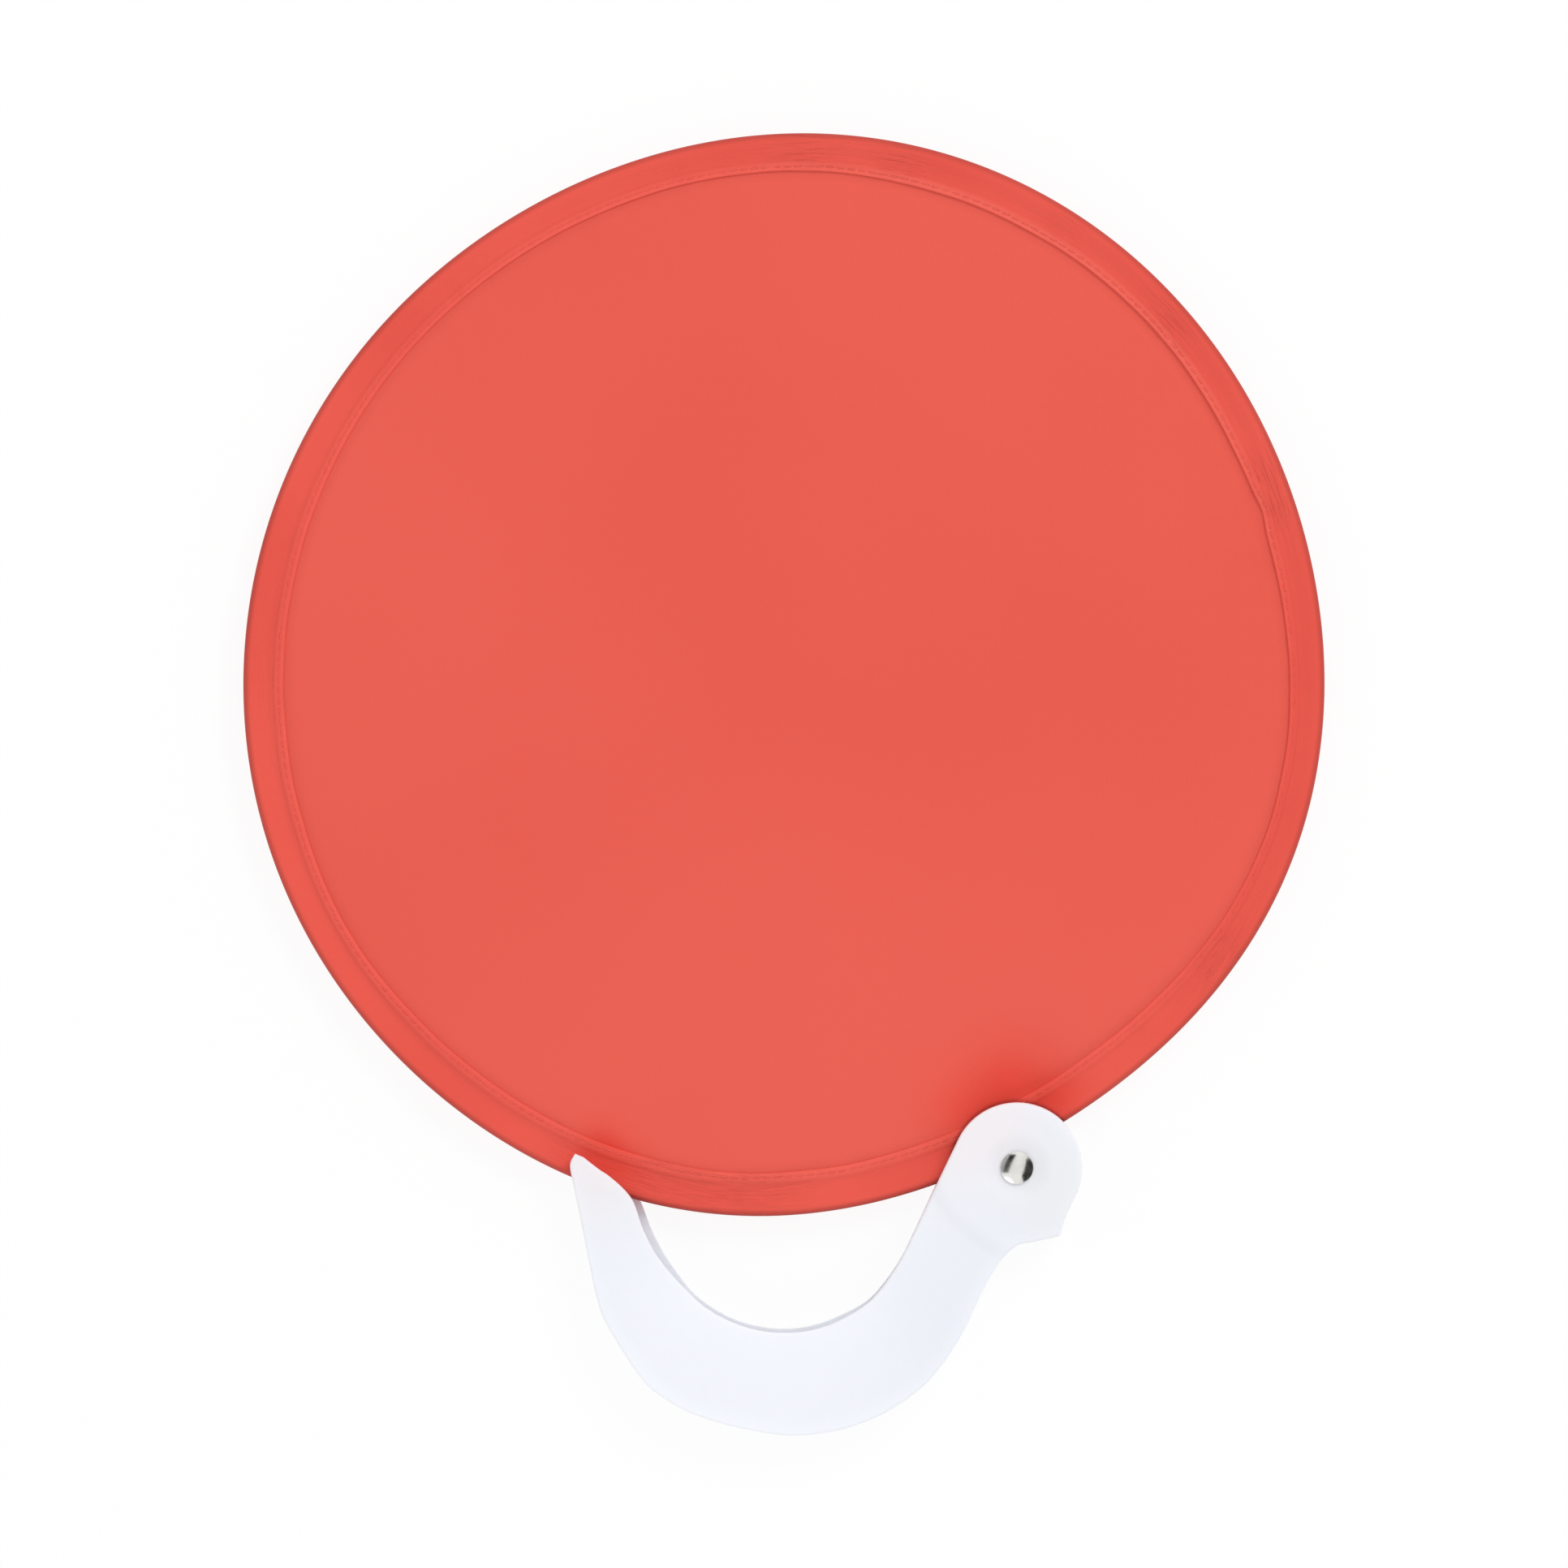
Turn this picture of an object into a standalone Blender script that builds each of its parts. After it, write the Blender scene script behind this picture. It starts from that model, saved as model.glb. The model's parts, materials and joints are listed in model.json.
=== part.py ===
"""Collapsible disc fan: a nylon disc on a twist-fold spring ring, with a crescent handle riveted to its rim.

The fan lies on its back. +Z is the front, +Y runs up the disc from the handle, and the floor is at Z = 0.
Everything is built about the disc's centre. One empty then sets it all on the floor, centred on the origin.
"""

import math

import bmesh
import bpy
from mathutils import Matrix, Vector

# Clearances
FIT_GAP = 0.00025  # where one hard piece seats on, or turns in, another
CLOTH_GAP = 0.00025  # between cloth and what it wraps
THREAD_GAP = 0.0002  # under a thread that lies on the tape
STOP_GAP = 0.0003  # between the rim and the end of the spine that it rests on
OVERRUN = 0.003  # how far a cutter runs past what it cuts
MERGE_DISTANCE = 0.00001  # points nearer than this are one point

# Disc
DISC_RADIUS = 0.1249
PANEL_THICKNESS = 0.0003
PANEL_INSET = 0.0044  # from the rim's edge to the panel's cut edge, inside the tape
# The hoop isn't quite round: waves round the rim, each with its height as a share of the radius and a
# crest's angle in degrees.
RIPPLE_SHARES = (
    (2, 0.0114, 43.0), (3, 0.0022, -20.0), (4, 0.0060, 74.5), (5, 0.0024, -21.0), (6, 0.0012, 29.0),
)

# Binding tape, folded round the rim
TAPE_THICKNESS = 0.0003
TAPE_WIDTH = 0.0092  # from the rim's edge to the tape's inner edge, on each side of the disc
TAPE_NOSE_ROUND = 0.0008
TAPE_DRAW_IN = 0.0020  # over this length its two lips come together inside the ring
HEM_WIDTH = 0.0021  # the edge that is turned under
HEM_SLOPE = 0.0004
NOTCH_SPARE = 0.0004  # behind the ring, where the fold is left open for its ends
NOTCH_END_SPARE = 0.0015
STITCH_INSET = 0.0011  # from the tape's inner edge to the seam
THREAD_WIDTH = 0.0004
THREAD_HEIGHT = 0.0003

# Spring ring, a flat steel strip standing on edge
STRIP_WIDTH = 0.0016
STRIP_THICKNESS = 0.0005
EYE_WRAP = 295.0
EXIT_LENGTH = 0.0110  # along the rim, from where an end leaves the channel to the eye
KNUCKLE_SPARE = 0.0020  # how far outside the eye each end is cut to half width
KNUCKLE_STEP = 0.0008

# Rivet and what is on it
RIVET_ANGLE = 295.3
RIVET_STAND_OFF = 0.0038  # from the rim's edge to the rivet's axis
SHANK_RADIUS = 0.0015
HEAD_RADIUS = 0.00375
HEAD_HEIGHT = 0.0011
HEAD_BRIM = 0.0003
DIMPLE_RADIUS = 0.0011
DIMPLE_DEPTH = 0.0005
TUBE_WALL = 0.0006
TUBE_DEPTH = 0.0040
ROLL_OVERHANG = 0.0011  # how far the rolled end stands out from the shank
ROLL_HEIGHT = 0.0005
ROLL_SINK = 0.0002  # how far the rolled end stays inside the handle's back
WASHER_MARGIN = 0.0016  # round the rolled end
WASHER_THICKNESS = 0.0004
SPACER_WALL = 0.00125

# Handle: a crescent channel, closed along its outer edge by a spine
HANDLE_SPAN = 0.1030  # from the rivet to where the rim crosses the tip
HANDLE_DROP = 0.0607  # from that line to the lowest point
FOLDED_LAYERS = 3  # turns of the rim that the slot takes when the disc is folded
SLOT_PLAY = 0.0003
FRONT_WALL = 0.0015
DISH_FLOOR = 0.0010  # what is left of the back wall under the washer
SPINE_THICKNESS = 0.0030
EDGE_ROUND = 0.0009
LOBE_RADIUS = 0.0151
LOBE_START = -13.5  # where the arm's inner edge runs into the lobe, in degrees from the line to the tip
LOBE_END = -201.5
LOBE_RISE = 0.0008  # how far the lobe's front stands above the arm's
LOBE_INSET = 0.0003
LOBE_ROUND = 0.0004
FRONT_DISH_MARGIN = 0.00285  # round the rivet's head
BACK_DISH_MARGIN = 0.0010  # round the washer

# The crescent's edges: shares of HANDLE_SPAN towards the tip, and of HANDLE_DROP away from the disc.
OUTER_EDGE_SHARES = (
    (0.040, 0.350), (0.080, 0.455), (0.125, 0.608), (0.165, 0.715), (0.220, 0.822), (0.295, 0.910),
    (0.365, 0.962), (0.440, 0.992), (0.530, 1.000), (0.640, 0.966), (0.732, 0.916), (0.795, 0.860),
    (0.850, 0.780), (0.910, 0.622), (0.945, 0.497), (0.969, 0.295), (0.980, 0.186), (1.000, 0.000),
    (1.003, -0.055), (0.992, -0.092),
)
# Beside the tip the front leaf is cut back from the back one.
BACK_LEAF_SHARES = (
    (0.975, -0.084), (0.945, -0.042), (0.915, -0.012), (0.888, 0.018), (0.864, 0.052), (0.846, 0.104),
    (0.827, 0.195), (0.800, 0.292), (0.768, 0.376), (0.734, 0.451), (0.691, 0.510), (0.644, 0.555),
)
FRONT_LEAF_SHARES = (
    (0.973, -0.078), (0.939, -0.031), (0.918, -0.006), (0.885, 0.045), (0.862, 0.100), (0.844, 0.196),
    (0.815, 0.299), (0.773, 0.393), (0.746, 0.442), (0.711, 0.490), (0.660, 0.542),
)
INNER_EDGE_SHARES = (
    (0.594, 0.583), (0.542, 0.596), (0.489, 0.593), (0.438, 0.573), (0.388, 0.539), (0.340, 0.493),
    (0.301, 0.423), (0.267, 0.343), (0.238, 0.251),
)
# Shares of LOBE_RADIUS: the arm's root, the heel, and the step from the lobe down to the arm.
ARM_ROOT_SHARE = (1.237, 0.225)
HEEL_SIDE_SHARES = ((-0.792, 0.638), (-0.711, 0.812))
HEEL_FOOT_SHARES = ((-0.638, 1.060), (-0.232, 1.142), (0.014, 1.186))
STEP_SHARES = (
    (0.12, 1.07), (0.24, 0.98), (0.40, 0.91), (0.67, 0.78), (0.945, 0.645), (1.08, 0.495), (1.18, 0.33),
)

# Fineness
DISC_STEPS = 90
TURNED_STEPS = 32
ROUND_STEPS = 48
LOBE_STEPS = 20
NOTCH_STEPS = 8
EYE_STEPS = 14
EXIT_STEPS = 8
EDGE_STEPS = 2
STOP_STEPS = 4

# Worked out from the sizes above
SLOT_HEIGHT = FOLDED_LAYERS * (STRIP_WIDTH + 2 * TAPE_THICKNESS) + SLOT_PLAY
SLOT_HALF = SLOT_HEIGHT / 2
BACK_DISH_DEPTH = 2 * FIT_GAP + WASHER_THICKNESS + ROLL_HEIGHT + ROLL_SINK
ARM_FRONT = SLOT_HALF + FRONT_WALL
LOBE_FRONT = ARM_FRONT + LOBE_RISE
HANDLE_BACK = -SLOT_HALF - DISH_FLOOR - BACK_DISH_DEPTH
RIVET_BORE = SHANK_RADIUS + FIT_GAP
ROLL_RADIUS = SHANK_RADIUS + ROLL_OVERHANG
WASHER_RADIUS = ROLL_RADIUS + WASHER_MARGIN
CHANNEL_HALF = STRIP_WIDTH / 2 + CLOTH_GAP
LIP_HALF = PANEL_THICKNESS / 2 + CLOTH_GAP
NOSE_HALF = CHANNEL_HALF + TAPE_THICKNESS
HEM_TOP = LIP_HALF + 2 * TAPE_THICKNESS
CHANNEL_END = TAPE_THICKNESS + 2 * CLOTH_GAP + STRIP_THICKNESS
RING_INSET = TAPE_THICKNESS + CLOTH_GAP + STRIP_THICKNESS / 2
EYE_RADIUS = RIVET_BORE + STRIP_THICKNESS / 2


def polar(radius, degrees):
    return Vector((radius * math.cos(math.radians(degrees)), radius * math.sin(math.radians(degrees))))


def rim_radius(degrees):
    """Radius of the rim's outer edge in this direction from the disc's centre."""
    share = 1.0
    for count, height, crest in RIPPLE_SHARES:
        share += height * math.cos(math.radians(count * (degrees - crest)))
    return DISC_RADIUS * share


def rivet_place():
    return polar(rim_radius(RIVET_ANGLE) + RIVET_STAND_OFF, RIVET_ANGLE)


def tip_crossing_angle():
    """The direction from the disc's centre in which the rim lies HANDLE_SPAN from the rivet."""
    near, far = RIVET_ANGLE, RIVET_ANGLE - 120.0
    for _ in range(50):
        middle = (near + far) / 2
        if (polar(rim_radius(middle), middle) - rivet_place()).length < HANDLE_SPAN:
            near = middle
        else:
            far = middle
    return (near + far) / 2


def handle_turn():
    """Direction, in radians, from the rivet to where the rim crosses the tip."""
    angle = tip_crossing_angle()
    chord = polar(rim_radius(angle), angle) - rivet_place()
    return math.atan2(chord.y, chord.x)


def smooth(points, steps):
    """A curve through the points, as the points themselves and steps - 1 more between each pair."""
    ends = [2 * points[0] - points[1], *points, 2 * points[-1] - points[-2]]
    curve = []
    for before, start, end, after in zip(ends, ends[1:], ends[2:], ends[3:]):
        for step in range(steps):
            t = step / steps
            curve.append(
                start
                + (end - before) * t / 2
                + (2 * before - 5 * start + 4 * end - after) * t * t / 2
                + (3 * start - before - 3 * end + after) * t**3 / 2
            )
    return [*curve, points[-1]]


def offset(points, distance):
    """The open line moved sideways, to the left of the way it runs."""
    moved = []
    for index, point in enumerate(points):
        ahead = points[min(index + 1, len(points) - 1)] - points[max(index - 1, 0)]
        moved.append(point + Vector((-ahead.y, ahead.x)).normalized() * distance)
    return moved


def on_disc(point):
    """A place in the handle's frame, as seen from the disc's centre."""
    return Matrix.Rotation(handle_turn(), 2) @ point + rivet_place()


def on_handle(place):
    """A place seen from the disc's centre, in the handle's frame."""
    return Matrix.Rotation(-handle_turn(), 2) @ (place - rivet_place())


def clear_scene():
    for leftover in list(bpy.data.objects):
        bpy.data.objects.remove(leftover, do_unlink=True)


def collection(name):
    made = bpy.data.collections.new(name)
    bpy.context.scene.collection.children.link(made)
    return made


def material(name, colour, roughness, metallic=0.0):
    made = bpy.data.materials.new(name)
    made.use_nodes = True
    surface = made.node_tree.nodes["Principled BSDF"]
    surface.inputs["Base Color"].default_value = (*colour, 1.0)
    surface.inputs["Roughness"].default_value = roughness
    surface.inputs["Metallic"].default_value = metallic
    return made


def empty(name, location, turn, parent, into):
    made = bpy.data.objects.new(name, None)
    into.objects.link(made)
    made.parent = parent
    made.location = location
    made.rotation_euler = (0.0, 0.0, turn)
    return made


def add_object(name, mesh, parent, into, height=0.0):
    made = bpy.data.objects.new(name, mesh)
    into.objects.link(made)
    made.parent = parent
    made.location = (0.0, 0.0, height)
    return made


def evaluated_mesh(source):
    """The object's shape with its modifiers, as a mesh of its own."""
    bpy.context.view_layer.update()
    graph = bpy.context.evaluated_depsgraph_get()
    return bpy.data.meshes.new_from_object(source.evaluated_get(graph))


def bake(made):
    made.data = evaluated_mesh(made)
    made.modifiers.clear()


def shade(made, degrees=35.0):
    made.data.shade_smooth()
    made.data.set_sharp_from_angle(angle=math.radians(degrees))


def turned(name, profile, parent, into, steps, closed=True):
    """A turned shape. The profile, in (radius, height), runs down its outer side."""
    mesh = bpy.data.meshes.new(name)
    outline = bmesh.new()
    corners = [outline.verts.new((radius, 0.0, height)) for radius, height in profile]
    for start, end in zip(corners, corners[1:]):
        outline.edges.new((start, end))
    if closed:
        outline.edges.new((corners[-1], corners[0]))
    outline.to_mesh(mesh)
    outline.free()
    made = add_object(name, mesh, parent, into)
    screw = made.modifiers.new("Turn", "SCREW")
    screw.steps = steps
    screw.render_steps = steps
    screw.use_merge_vertices = True
    screw.merge_threshold = MERGE_DISTANCE
    return made


def follow_rim(made):
    """Bakes a turned piece and moves its points in or out with the rim's waves."""
    bake(made)
    for point in made.data.vertices:
        across = Vector(point.co.xy)
        if across.length > 0.0:
            degrees = math.degrees(math.atan2(across.y, across.x))
            across *= 1 + (rim_radius(degrees) - DISC_RADIUS) / across.length
            point.co = (across.x, across.y, point.co.z)
    shade(made)
    return made


def plate(name, outline, low, high, parent, into):
    """A flat shape between two heights, its faces left whole so that its edges can be rounded."""
    curve = bpy.data.curves.new(name + "_outline", "CURVE")
    curve.dimensions = "2D"
    curve.fill_mode = "BOTH"
    curve.extrude = (high - low) / 2
    spline = curve.splines.new("POLY")
    spline.points.add(len(outline) - 1)
    for corner, point in zip(spline.points, outline):
        corner.co = (point.x, point.y, 0.0, 1.0)
    spline.use_cyclic_u = True
    guide = bpy.data.objects.new(name + "_outline", curve)
    into.objects.link(guide)
    mesh = evaluated_mesh(guide)
    bpy.data.objects.remove(guide, do_unlink=True)
    shape = bmesh.new()
    shape.from_mesh(mesh)
    bmesh.ops.remove_doubles(shape, verts=shape.verts, dist=MERGE_DISTANCE)
    bmesh.ops.dissolve_limit(shape, angle_limit=math.radians(0.2), verts=shape.verts, edges=shape.edges)
    bmesh.ops.recalc_face_normals(shape, faces=shape.faces)
    shape.to_mesh(mesh)
    shape.free()
    return add_object(name, mesh, parent, into, height=(low + high) / 2)


def cylinder(name, radius, low, high, parent, into, steps=ROUND_STEPS):
    mesh = bpy.data.meshes.new(name)
    shape = bmesh.new()
    bmesh.ops.create_cone(
        shape, cap_ends=True, segments=steps, radius1=radius, radius2=radius, depth=high - low
    )
    shape.to_mesh(mesh)
    shape.free()
    return add_object(name, mesh, parent, into, height=(low + high) / 2)


def round_face(made, side, width, segments):
    """Rounds the edge of a plate's front face, or with side -1 its back face."""
    shape = bmesh.new()
    shape.from_mesh(made.data)
    weight = shape.edges.layers.float.new("bevel_weight_edge")
    face_height = max(point.co.z for point in shape.verts) - MERGE_DISTANCE
    for edge in shape.edges:
        edge[weight] = float(min(point.co.z * side for point in edge.verts) > face_height)
    shape.to_mesh(made.data)
    shape.free()
    rounding = made.modifiers.new("Rounded edge", "BEVEL")
    rounding.width = width
    rounding.segments = segments
    rounding.limit_method = "WEIGHT"


def combine(made, other, operation):
    step = made.modifiers.new(other.name, "BOOLEAN")
    step.object = other
    step.operation = operation
    other.hide_render = True
    other.display_type = "WIRE"


def nylon_panel(parent, into):
    half = PANEL_THICKNESS / 2
    made = cylinder("nylon_panel", DISC_RADIUS - PANEL_INSET, -half, half, parent, into, steps=DISC_STEPS)
    made.data.materials.append(material("red_nylon", (0.80, 0.115, 0.085), 0.6))
    return follow_rim(made)


def tape_section():
    """The folded tape's section, as (inset from the rim's edge, height): its outside, then its inside."""
    lip_start = CHANNEL_END + TAPE_DRAW_IN
    hem_start = TAPE_WIDTH - HEM_WIDTH
    diagonal = TAPE_NOSE_ROUND * (1 - math.sqrt(0.5))
    inner_diagonal = TAPE_THICKNESS * math.sqrt(0.5) + diagonal
    outside = [
        (0.0, NOSE_HALF - TAPE_NOSE_ROUND),
        (diagonal, NOSE_HALF - diagonal),
        (TAPE_NOSE_ROUND, NOSE_HALF),
        (CHANNEL_END, NOSE_HALF),
        (lip_start, LIP_HALF + TAPE_THICKNESS),
        (hem_start, LIP_HALF + TAPE_THICKNESS),
        (hem_start + HEM_SLOPE, HEM_TOP),
        (TAPE_WIDTH, HEM_TOP),
    ]
    inside = [
        (TAPE_THICKNESS, NOSE_HALF - TAPE_NOSE_ROUND),
        (inner_diagonal, NOSE_HALF - inner_diagonal),
        (TAPE_NOSE_ROUND, CHANNEL_HALF),
        (CHANNEL_END, CHANNEL_HALF),
        (lip_start, LIP_HALF),
        (TAPE_WIDTH, LIP_HALF),
    ]
    under = [(inset, -height) for inset, height in outside]
    within = [(inset, -height) for inset, height in inside]
    return outside[::-1] + under + within[::-1] + inside


def rim_binding(parent, into, cutters):
    profile = [(DISC_RADIUS - inset, height) for inset, height in tape_section()]
    made = follow_rim(turned("rim_binding", profile, parent, into, DISC_STEPS))
    made.data.materials.append(material("red_tape", (0.76, 0.095, 0.070), 0.6))
    # The fold is open beside the rivet, where both ends of the spring ring come out.
    reach = exit_reach() + math.degrees(NOTCH_END_SPARE / DISC_RADIUS)
    angles = [RIVET_ANGLE + reach * (2 * step / NOTCH_STEPS - 1) for step in range(NOTCH_STEPS + 1)]
    floor = [polar(rim_radius(angle) - CHANNEL_END - NOTCH_SPARE, angle) for angle in angles]
    outside = [polar(rim_radius(angle) + OVERRUN, angle) for angle in angles]
    height = NOSE_HALF + OVERRUN
    combine(made, plate("tape_notch", floor + outside[::-1], -height, height, parent, cutters), "DIFFERENCE")
    return made


def seam_thread(name, side, parent, into):
    """One thread of the seam. It lies on the hem, on the front or the back."""
    low = HEM_TOP + THREAD_GAP
    high = low + THREAD_HEIGHT
    middle = DISC_RADIUS - TAPE_WIDTH + STITCH_INSET
    half, crown = THREAD_WIDTH / 2, THREAD_WIDTH / 4
    profile = [(middle - half, low), (middle - crown, high), (middle + crown, high), (middle + half, low)]
    if side < 0:
        profile = [(radius, -height) for radius, height in reversed(profile)]
    made = follow_rim(turned(name, profile, parent, into, DISC_STEPS))
    made.data.materials.append(material(name + "_polyester", (0.72, 0.085, 0.065), 0.5))
    return made


def eye_points(side):
    """The rolled end of the strip, from where it meets the rim's line to its free end round the rivet."""
    inward, along = -polar(1.0, RIVET_ANGLE), polar(1.0, RIVET_ANGLE + 90.0)
    points = []
    for step in range(1, EYE_STEPS + 1):
        swept = math.radians(EYE_WRAP * step / EYE_STEPS)
        points.append(
            rivet_place() + (inward * math.cos(swept) - along * side * math.sin(swept)) * EYE_RADIUS
        )
    return points


def exit_reach():
    """Degrees round the disc from the rivet to where an end of the ring leaves the tape's channel."""
    return math.degrees(EXIT_LENGTH / rivet_place().length)


def exit_points(side):
    """The strip from the rivet to where it lies in the tape's channel, on one side of the rivet."""
    points = []
    for step in range(EXIT_STEPS + 1):
        share = step / EXIT_STEPS
        angle = RIVET_ANGLE + side * exit_reach() * share
        out = (1 + math.cos(math.pi * share)) / 2
        channel = rim_radius(angle) - RING_INSET
        eye = rivet_place().length - EYE_RADIUS
        points.append(polar(channel + (eye - channel) * out, angle))
    return points


def spring_ring(parent, into):
    """A strip on edge: an eye at each end, one above the other on the rivet, and the hoop between them."""
    half, split = STRIP_WIDTH / 2, FIT_GAP / 2
    start = RIVET_ANGLE - exit_reach()
    turn = 360.0 - 2 * exit_reach()
    hoop = []
    for step in range(1, DISC_STEPS):
        angle = start - turn * step / DISC_STEPS
        hoop.append(polar(rim_radius(angle) - RING_INSET, angle))
    left = eye_points(-1)[::-1] + exit_points(-1)
    right = exit_points(1)[::-1] + eye_points(1)

    def span(point, low, high):
        """Half width at the eye, full width in the channel, with one short step between."""
        far = (point - rivet_place()).length - EYE_RADIUS - KNUCKLE_SPARE
        share = min(max(far / KNUCKLE_STEP, 0.0), 1.0)
        return low + (-half - low) * share, high + (half - high) * share

    path = [(point, span(point, split, half)) for point in left]
    path += [(point, (-half, half)) for point in hoop]
    path += [(point, span(point, -half, -split)) for point in right]
    mesh = bpy.data.meshes.new("spring_ring")
    strip = bmesh.new()
    pairs = [
        (strip.verts.new((point.x, point.y, low)), strip.verts.new((point.x, point.y, high)))
        for point, (low, high) in path
    ]
    for (low, high), (next_low, next_high) in zip(pairs, pairs[1:]):
        strip.faces.new((low, next_low, next_high, high))
    strip.to_mesh(mesh)
    strip.free()
    made = add_object("spring_ring", mesh, parent, into)
    solidify = made.modifiers.new("Strip", "SOLIDIFY")
    solidify.thickness = STRIP_THICKNESS
    solidify.offset = 0.0
    solidify.use_even_offset = True
    shade(made)
    made.data.materials.append(material("spring_steel", (0.45, 0.46, 0.48), 0.3, 1.0))
    return made


def in_crescent(share):
    return Vector((share[0] * HANDLE_SPAN, share[1] * HANDLE_DROP))


def in_lobe(share):
    return Vector(share) * LOBE_RADIUS


def outer_edge():
    """The crescent's outer edge, from the heel's corner round to the tip."""
    heel = [in_lobe(share) for share in HEEL_FOOT_SHARES]
    return smooth(heel + [in_crescent(share) for share in OUTER_EDGE_SHARES], EDGE_STEPS)


def inner_edge(leaf_shares):
    """One leaf's inner edge, from the tip to the lobe."""
    points = [in_crescent(share) for share in leaf_shares + INNER_EDGE_SHARES] + [in_lobe(ARM_ROOT_SHARE)]
    return smooth([*points, polar(LOBE_RADIUS, LOBE_START)], EDGE_STEPS)


def lobe_edge():
    """The round lobe from the arm's inner edge over the top, and down the heel's side."""
    turn = LOBE_END - LOBE_START
    arc = [polar(LOBE_RADIUS, LOBE_START + turn * step / LOBE_STEPS) for step in range(1, LOBE_STEPS + 1)]
    return arc + [in_lobe(share) for share in HEEL_SIDE_SHARES]


def raised_outline():
    """The raised front of the lobe: just inside its edge, and closed by the step across the arm."""
    edge = [in_lobe(ARM_ROOT_SHARE), polar(LOBE_RADIUS, LOBE_START)] + lobe_edge()
    edge += [in_lobe(share) for share in HEEL_FOOT_SHARES]
    return offset(edge, -LOBE_INSET) + smooth([in_lobe(share) for share in STEP_SHARES], EDGE_STEPS)


def slot_outline():
    """The slot's plan: all inside the spine, which ends just outside the rim at the tip."""
    spine = offset(outer_edge(), -SPINE_THICKNESS)
    heel_end = spine[0] + (spine[0] - spine[1]).normalized() * LOBE_RADIUS
    clear = []
    for point in spine:
        place = on_disc(point)
        angle = math.degrees(math.atan2(place.y, place.x))
        if place.length > rim_radius(angle) + STOP_GAP:
            clear.append(point)
            stop_angle = angle
    stop_run = math.degrees((2 * SPINE_THICKNESS + OVERRUN) / DISC_RADIUS)
    stop = []
    for step in range(1, STOP_STEPS + 1):
        angle = stop_angle - stop_run * step / STOP_STEPS
        stop.append(on_handle(polar(rim_radius(angle) + STOP_GAP, angle)))
    top = -LOBE_RADIUS - OVERRUN
    return [heel_end, *clear, *stop, Vector((stop[-1].x, top)), Vector((heel_end.x, top))]


def handle_half(name, leaf_shares, low, high, side, parent, into):
    """All of the handle in front of or behind the middle of its slot, before the slot is cut."""
    outline = outer_edge() + inner_edge(leaf_shares) + lobe_edge()
    made = plate(name, outline, low, high, parent, into)
    shade(made)
    round_face(made, side, EDGE_ROUND, 2)
    return made


def handle(parent, into, cutters):
    made = handle_half("handle", BACK_LEAF_SHARES, HANDLE_BACK, 0.0, -1, parent, into)
    made.data.materials.append(material("frosted_polypropylene", (0.86, 0.88, 0.93), 0.35))
    combine(made, handle_half("front_half", FRONT_LEAF_SHARES, 0.0, ARM_FRONT, 1, parent, cutters), "UNION")
    raised = plate("raised_lobe", raised_outline(), ARM_FRONT - FRONT_WALL / 2, LOBE_FRONT, parent, cutters)
    round_face(raised, 1, LOBE_ROUND, 1)
    combine(made, raised, "UNION")
    front_dish = cylinder(
        "front_dish", HEAD_RADIUS + FRONT_DISH_MARGIN, ARM_FRONT, LOBE_FRONT + OVERRUN, parent, cutters
    )
    back_dish = cylinder(
        "back_dish", WASHER_RADIUS + BACK_DISH_MARGIN, HANDLE_BACK - OVERRUN, HANDLE_BACK + BACK_DISH_DEPTH,
        parent, cutters,
    )
    hole = cylinder("rivet_hole", RIVET_BORE, HANDLE_BACK - OVERRUN, LOBE_FRONT + OVERRUN, parent, cutters)
    slot = plate("slot_space", slot_outline(), -SLOT_HALF, SLOT_HALF, parent, cutters)
    for cutter in (slot, front_dish, back_dish, hole):
        combine(made, cutter, "DIFFERENCE")
    return made


def rivet(parent, into):
    """Head, shank and the tube end that is rolled over the washer, in one turned piece."""
    under_head = ARM_FRONT + FIT_GAP
    crown = under_head + HEAD_HEIGHT
    roll_foot = HANDLE_BACK + ROLL_SINK
    roll_top = roll_foot + ROLL_HEIGHT
    tube_bore = SHANK_RADIUS - TUBE_WALL
    dome = HEAD_RADIUS - DIMPLE_RADIUS
    rise = HEAD_HEIGHT - HEAD_BRIM
    profile = [(0.0, crown - DIMPLE_DEPTH), (DIMPLE_RADIUS / 2, crown - DIMPLE_DEPTH), (DIMPLE_RADIUS, crown)]
    for step in range(1, 4):
        angle = math.radians(90.0 * step / 3)
        height = under_head + HEAD_BRIM + rise * math.cos(angle)
        profile.append((DIMPLE_RADIUS + dome * math.sin(angle), height))
    profile += [
        (HEAD_RADIUS, under_head),
        (SHANK_RADIUS, under_head),
        (SHANK_RADIUS, roll_top),
        (ROLL_RADIUS, roll_top),
        (ROLL_RADIUS, roll_top - ROLL_HEIGHT / 2),
        ((ROLL_RADIUS + tube_bore) / 2, roll_foot),
        (tube_bore, roll_top - ROLL_HEIGHT / 2),
        (tube_bore, roll_foot + TUBE_DEPTH),
        (0.0, roll_foot + TUBE_DEPTH),
    ]
    made = turned("rivet", profile, parent, into, TURNED_STEPS, closed=False)
    shade(made)
    made.data.materials.append(material("nickel_plate", (0.66, 0.65, 0.62), 0.18, 1.0))
    return made


def ring_on_rivet(name, radius, low, high, surface, parent, into):
    """A washer or spacer with the rivet's bore."""
    profile = [(RIVET_BORE, high), (radius, high), (radius, low), (RIVET_BORE, low)]
    made = turned(name, profile, parent, into, TURNED_STEPS)
    shade(made)
    made.data.materials.append(surface)
    return made


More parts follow.
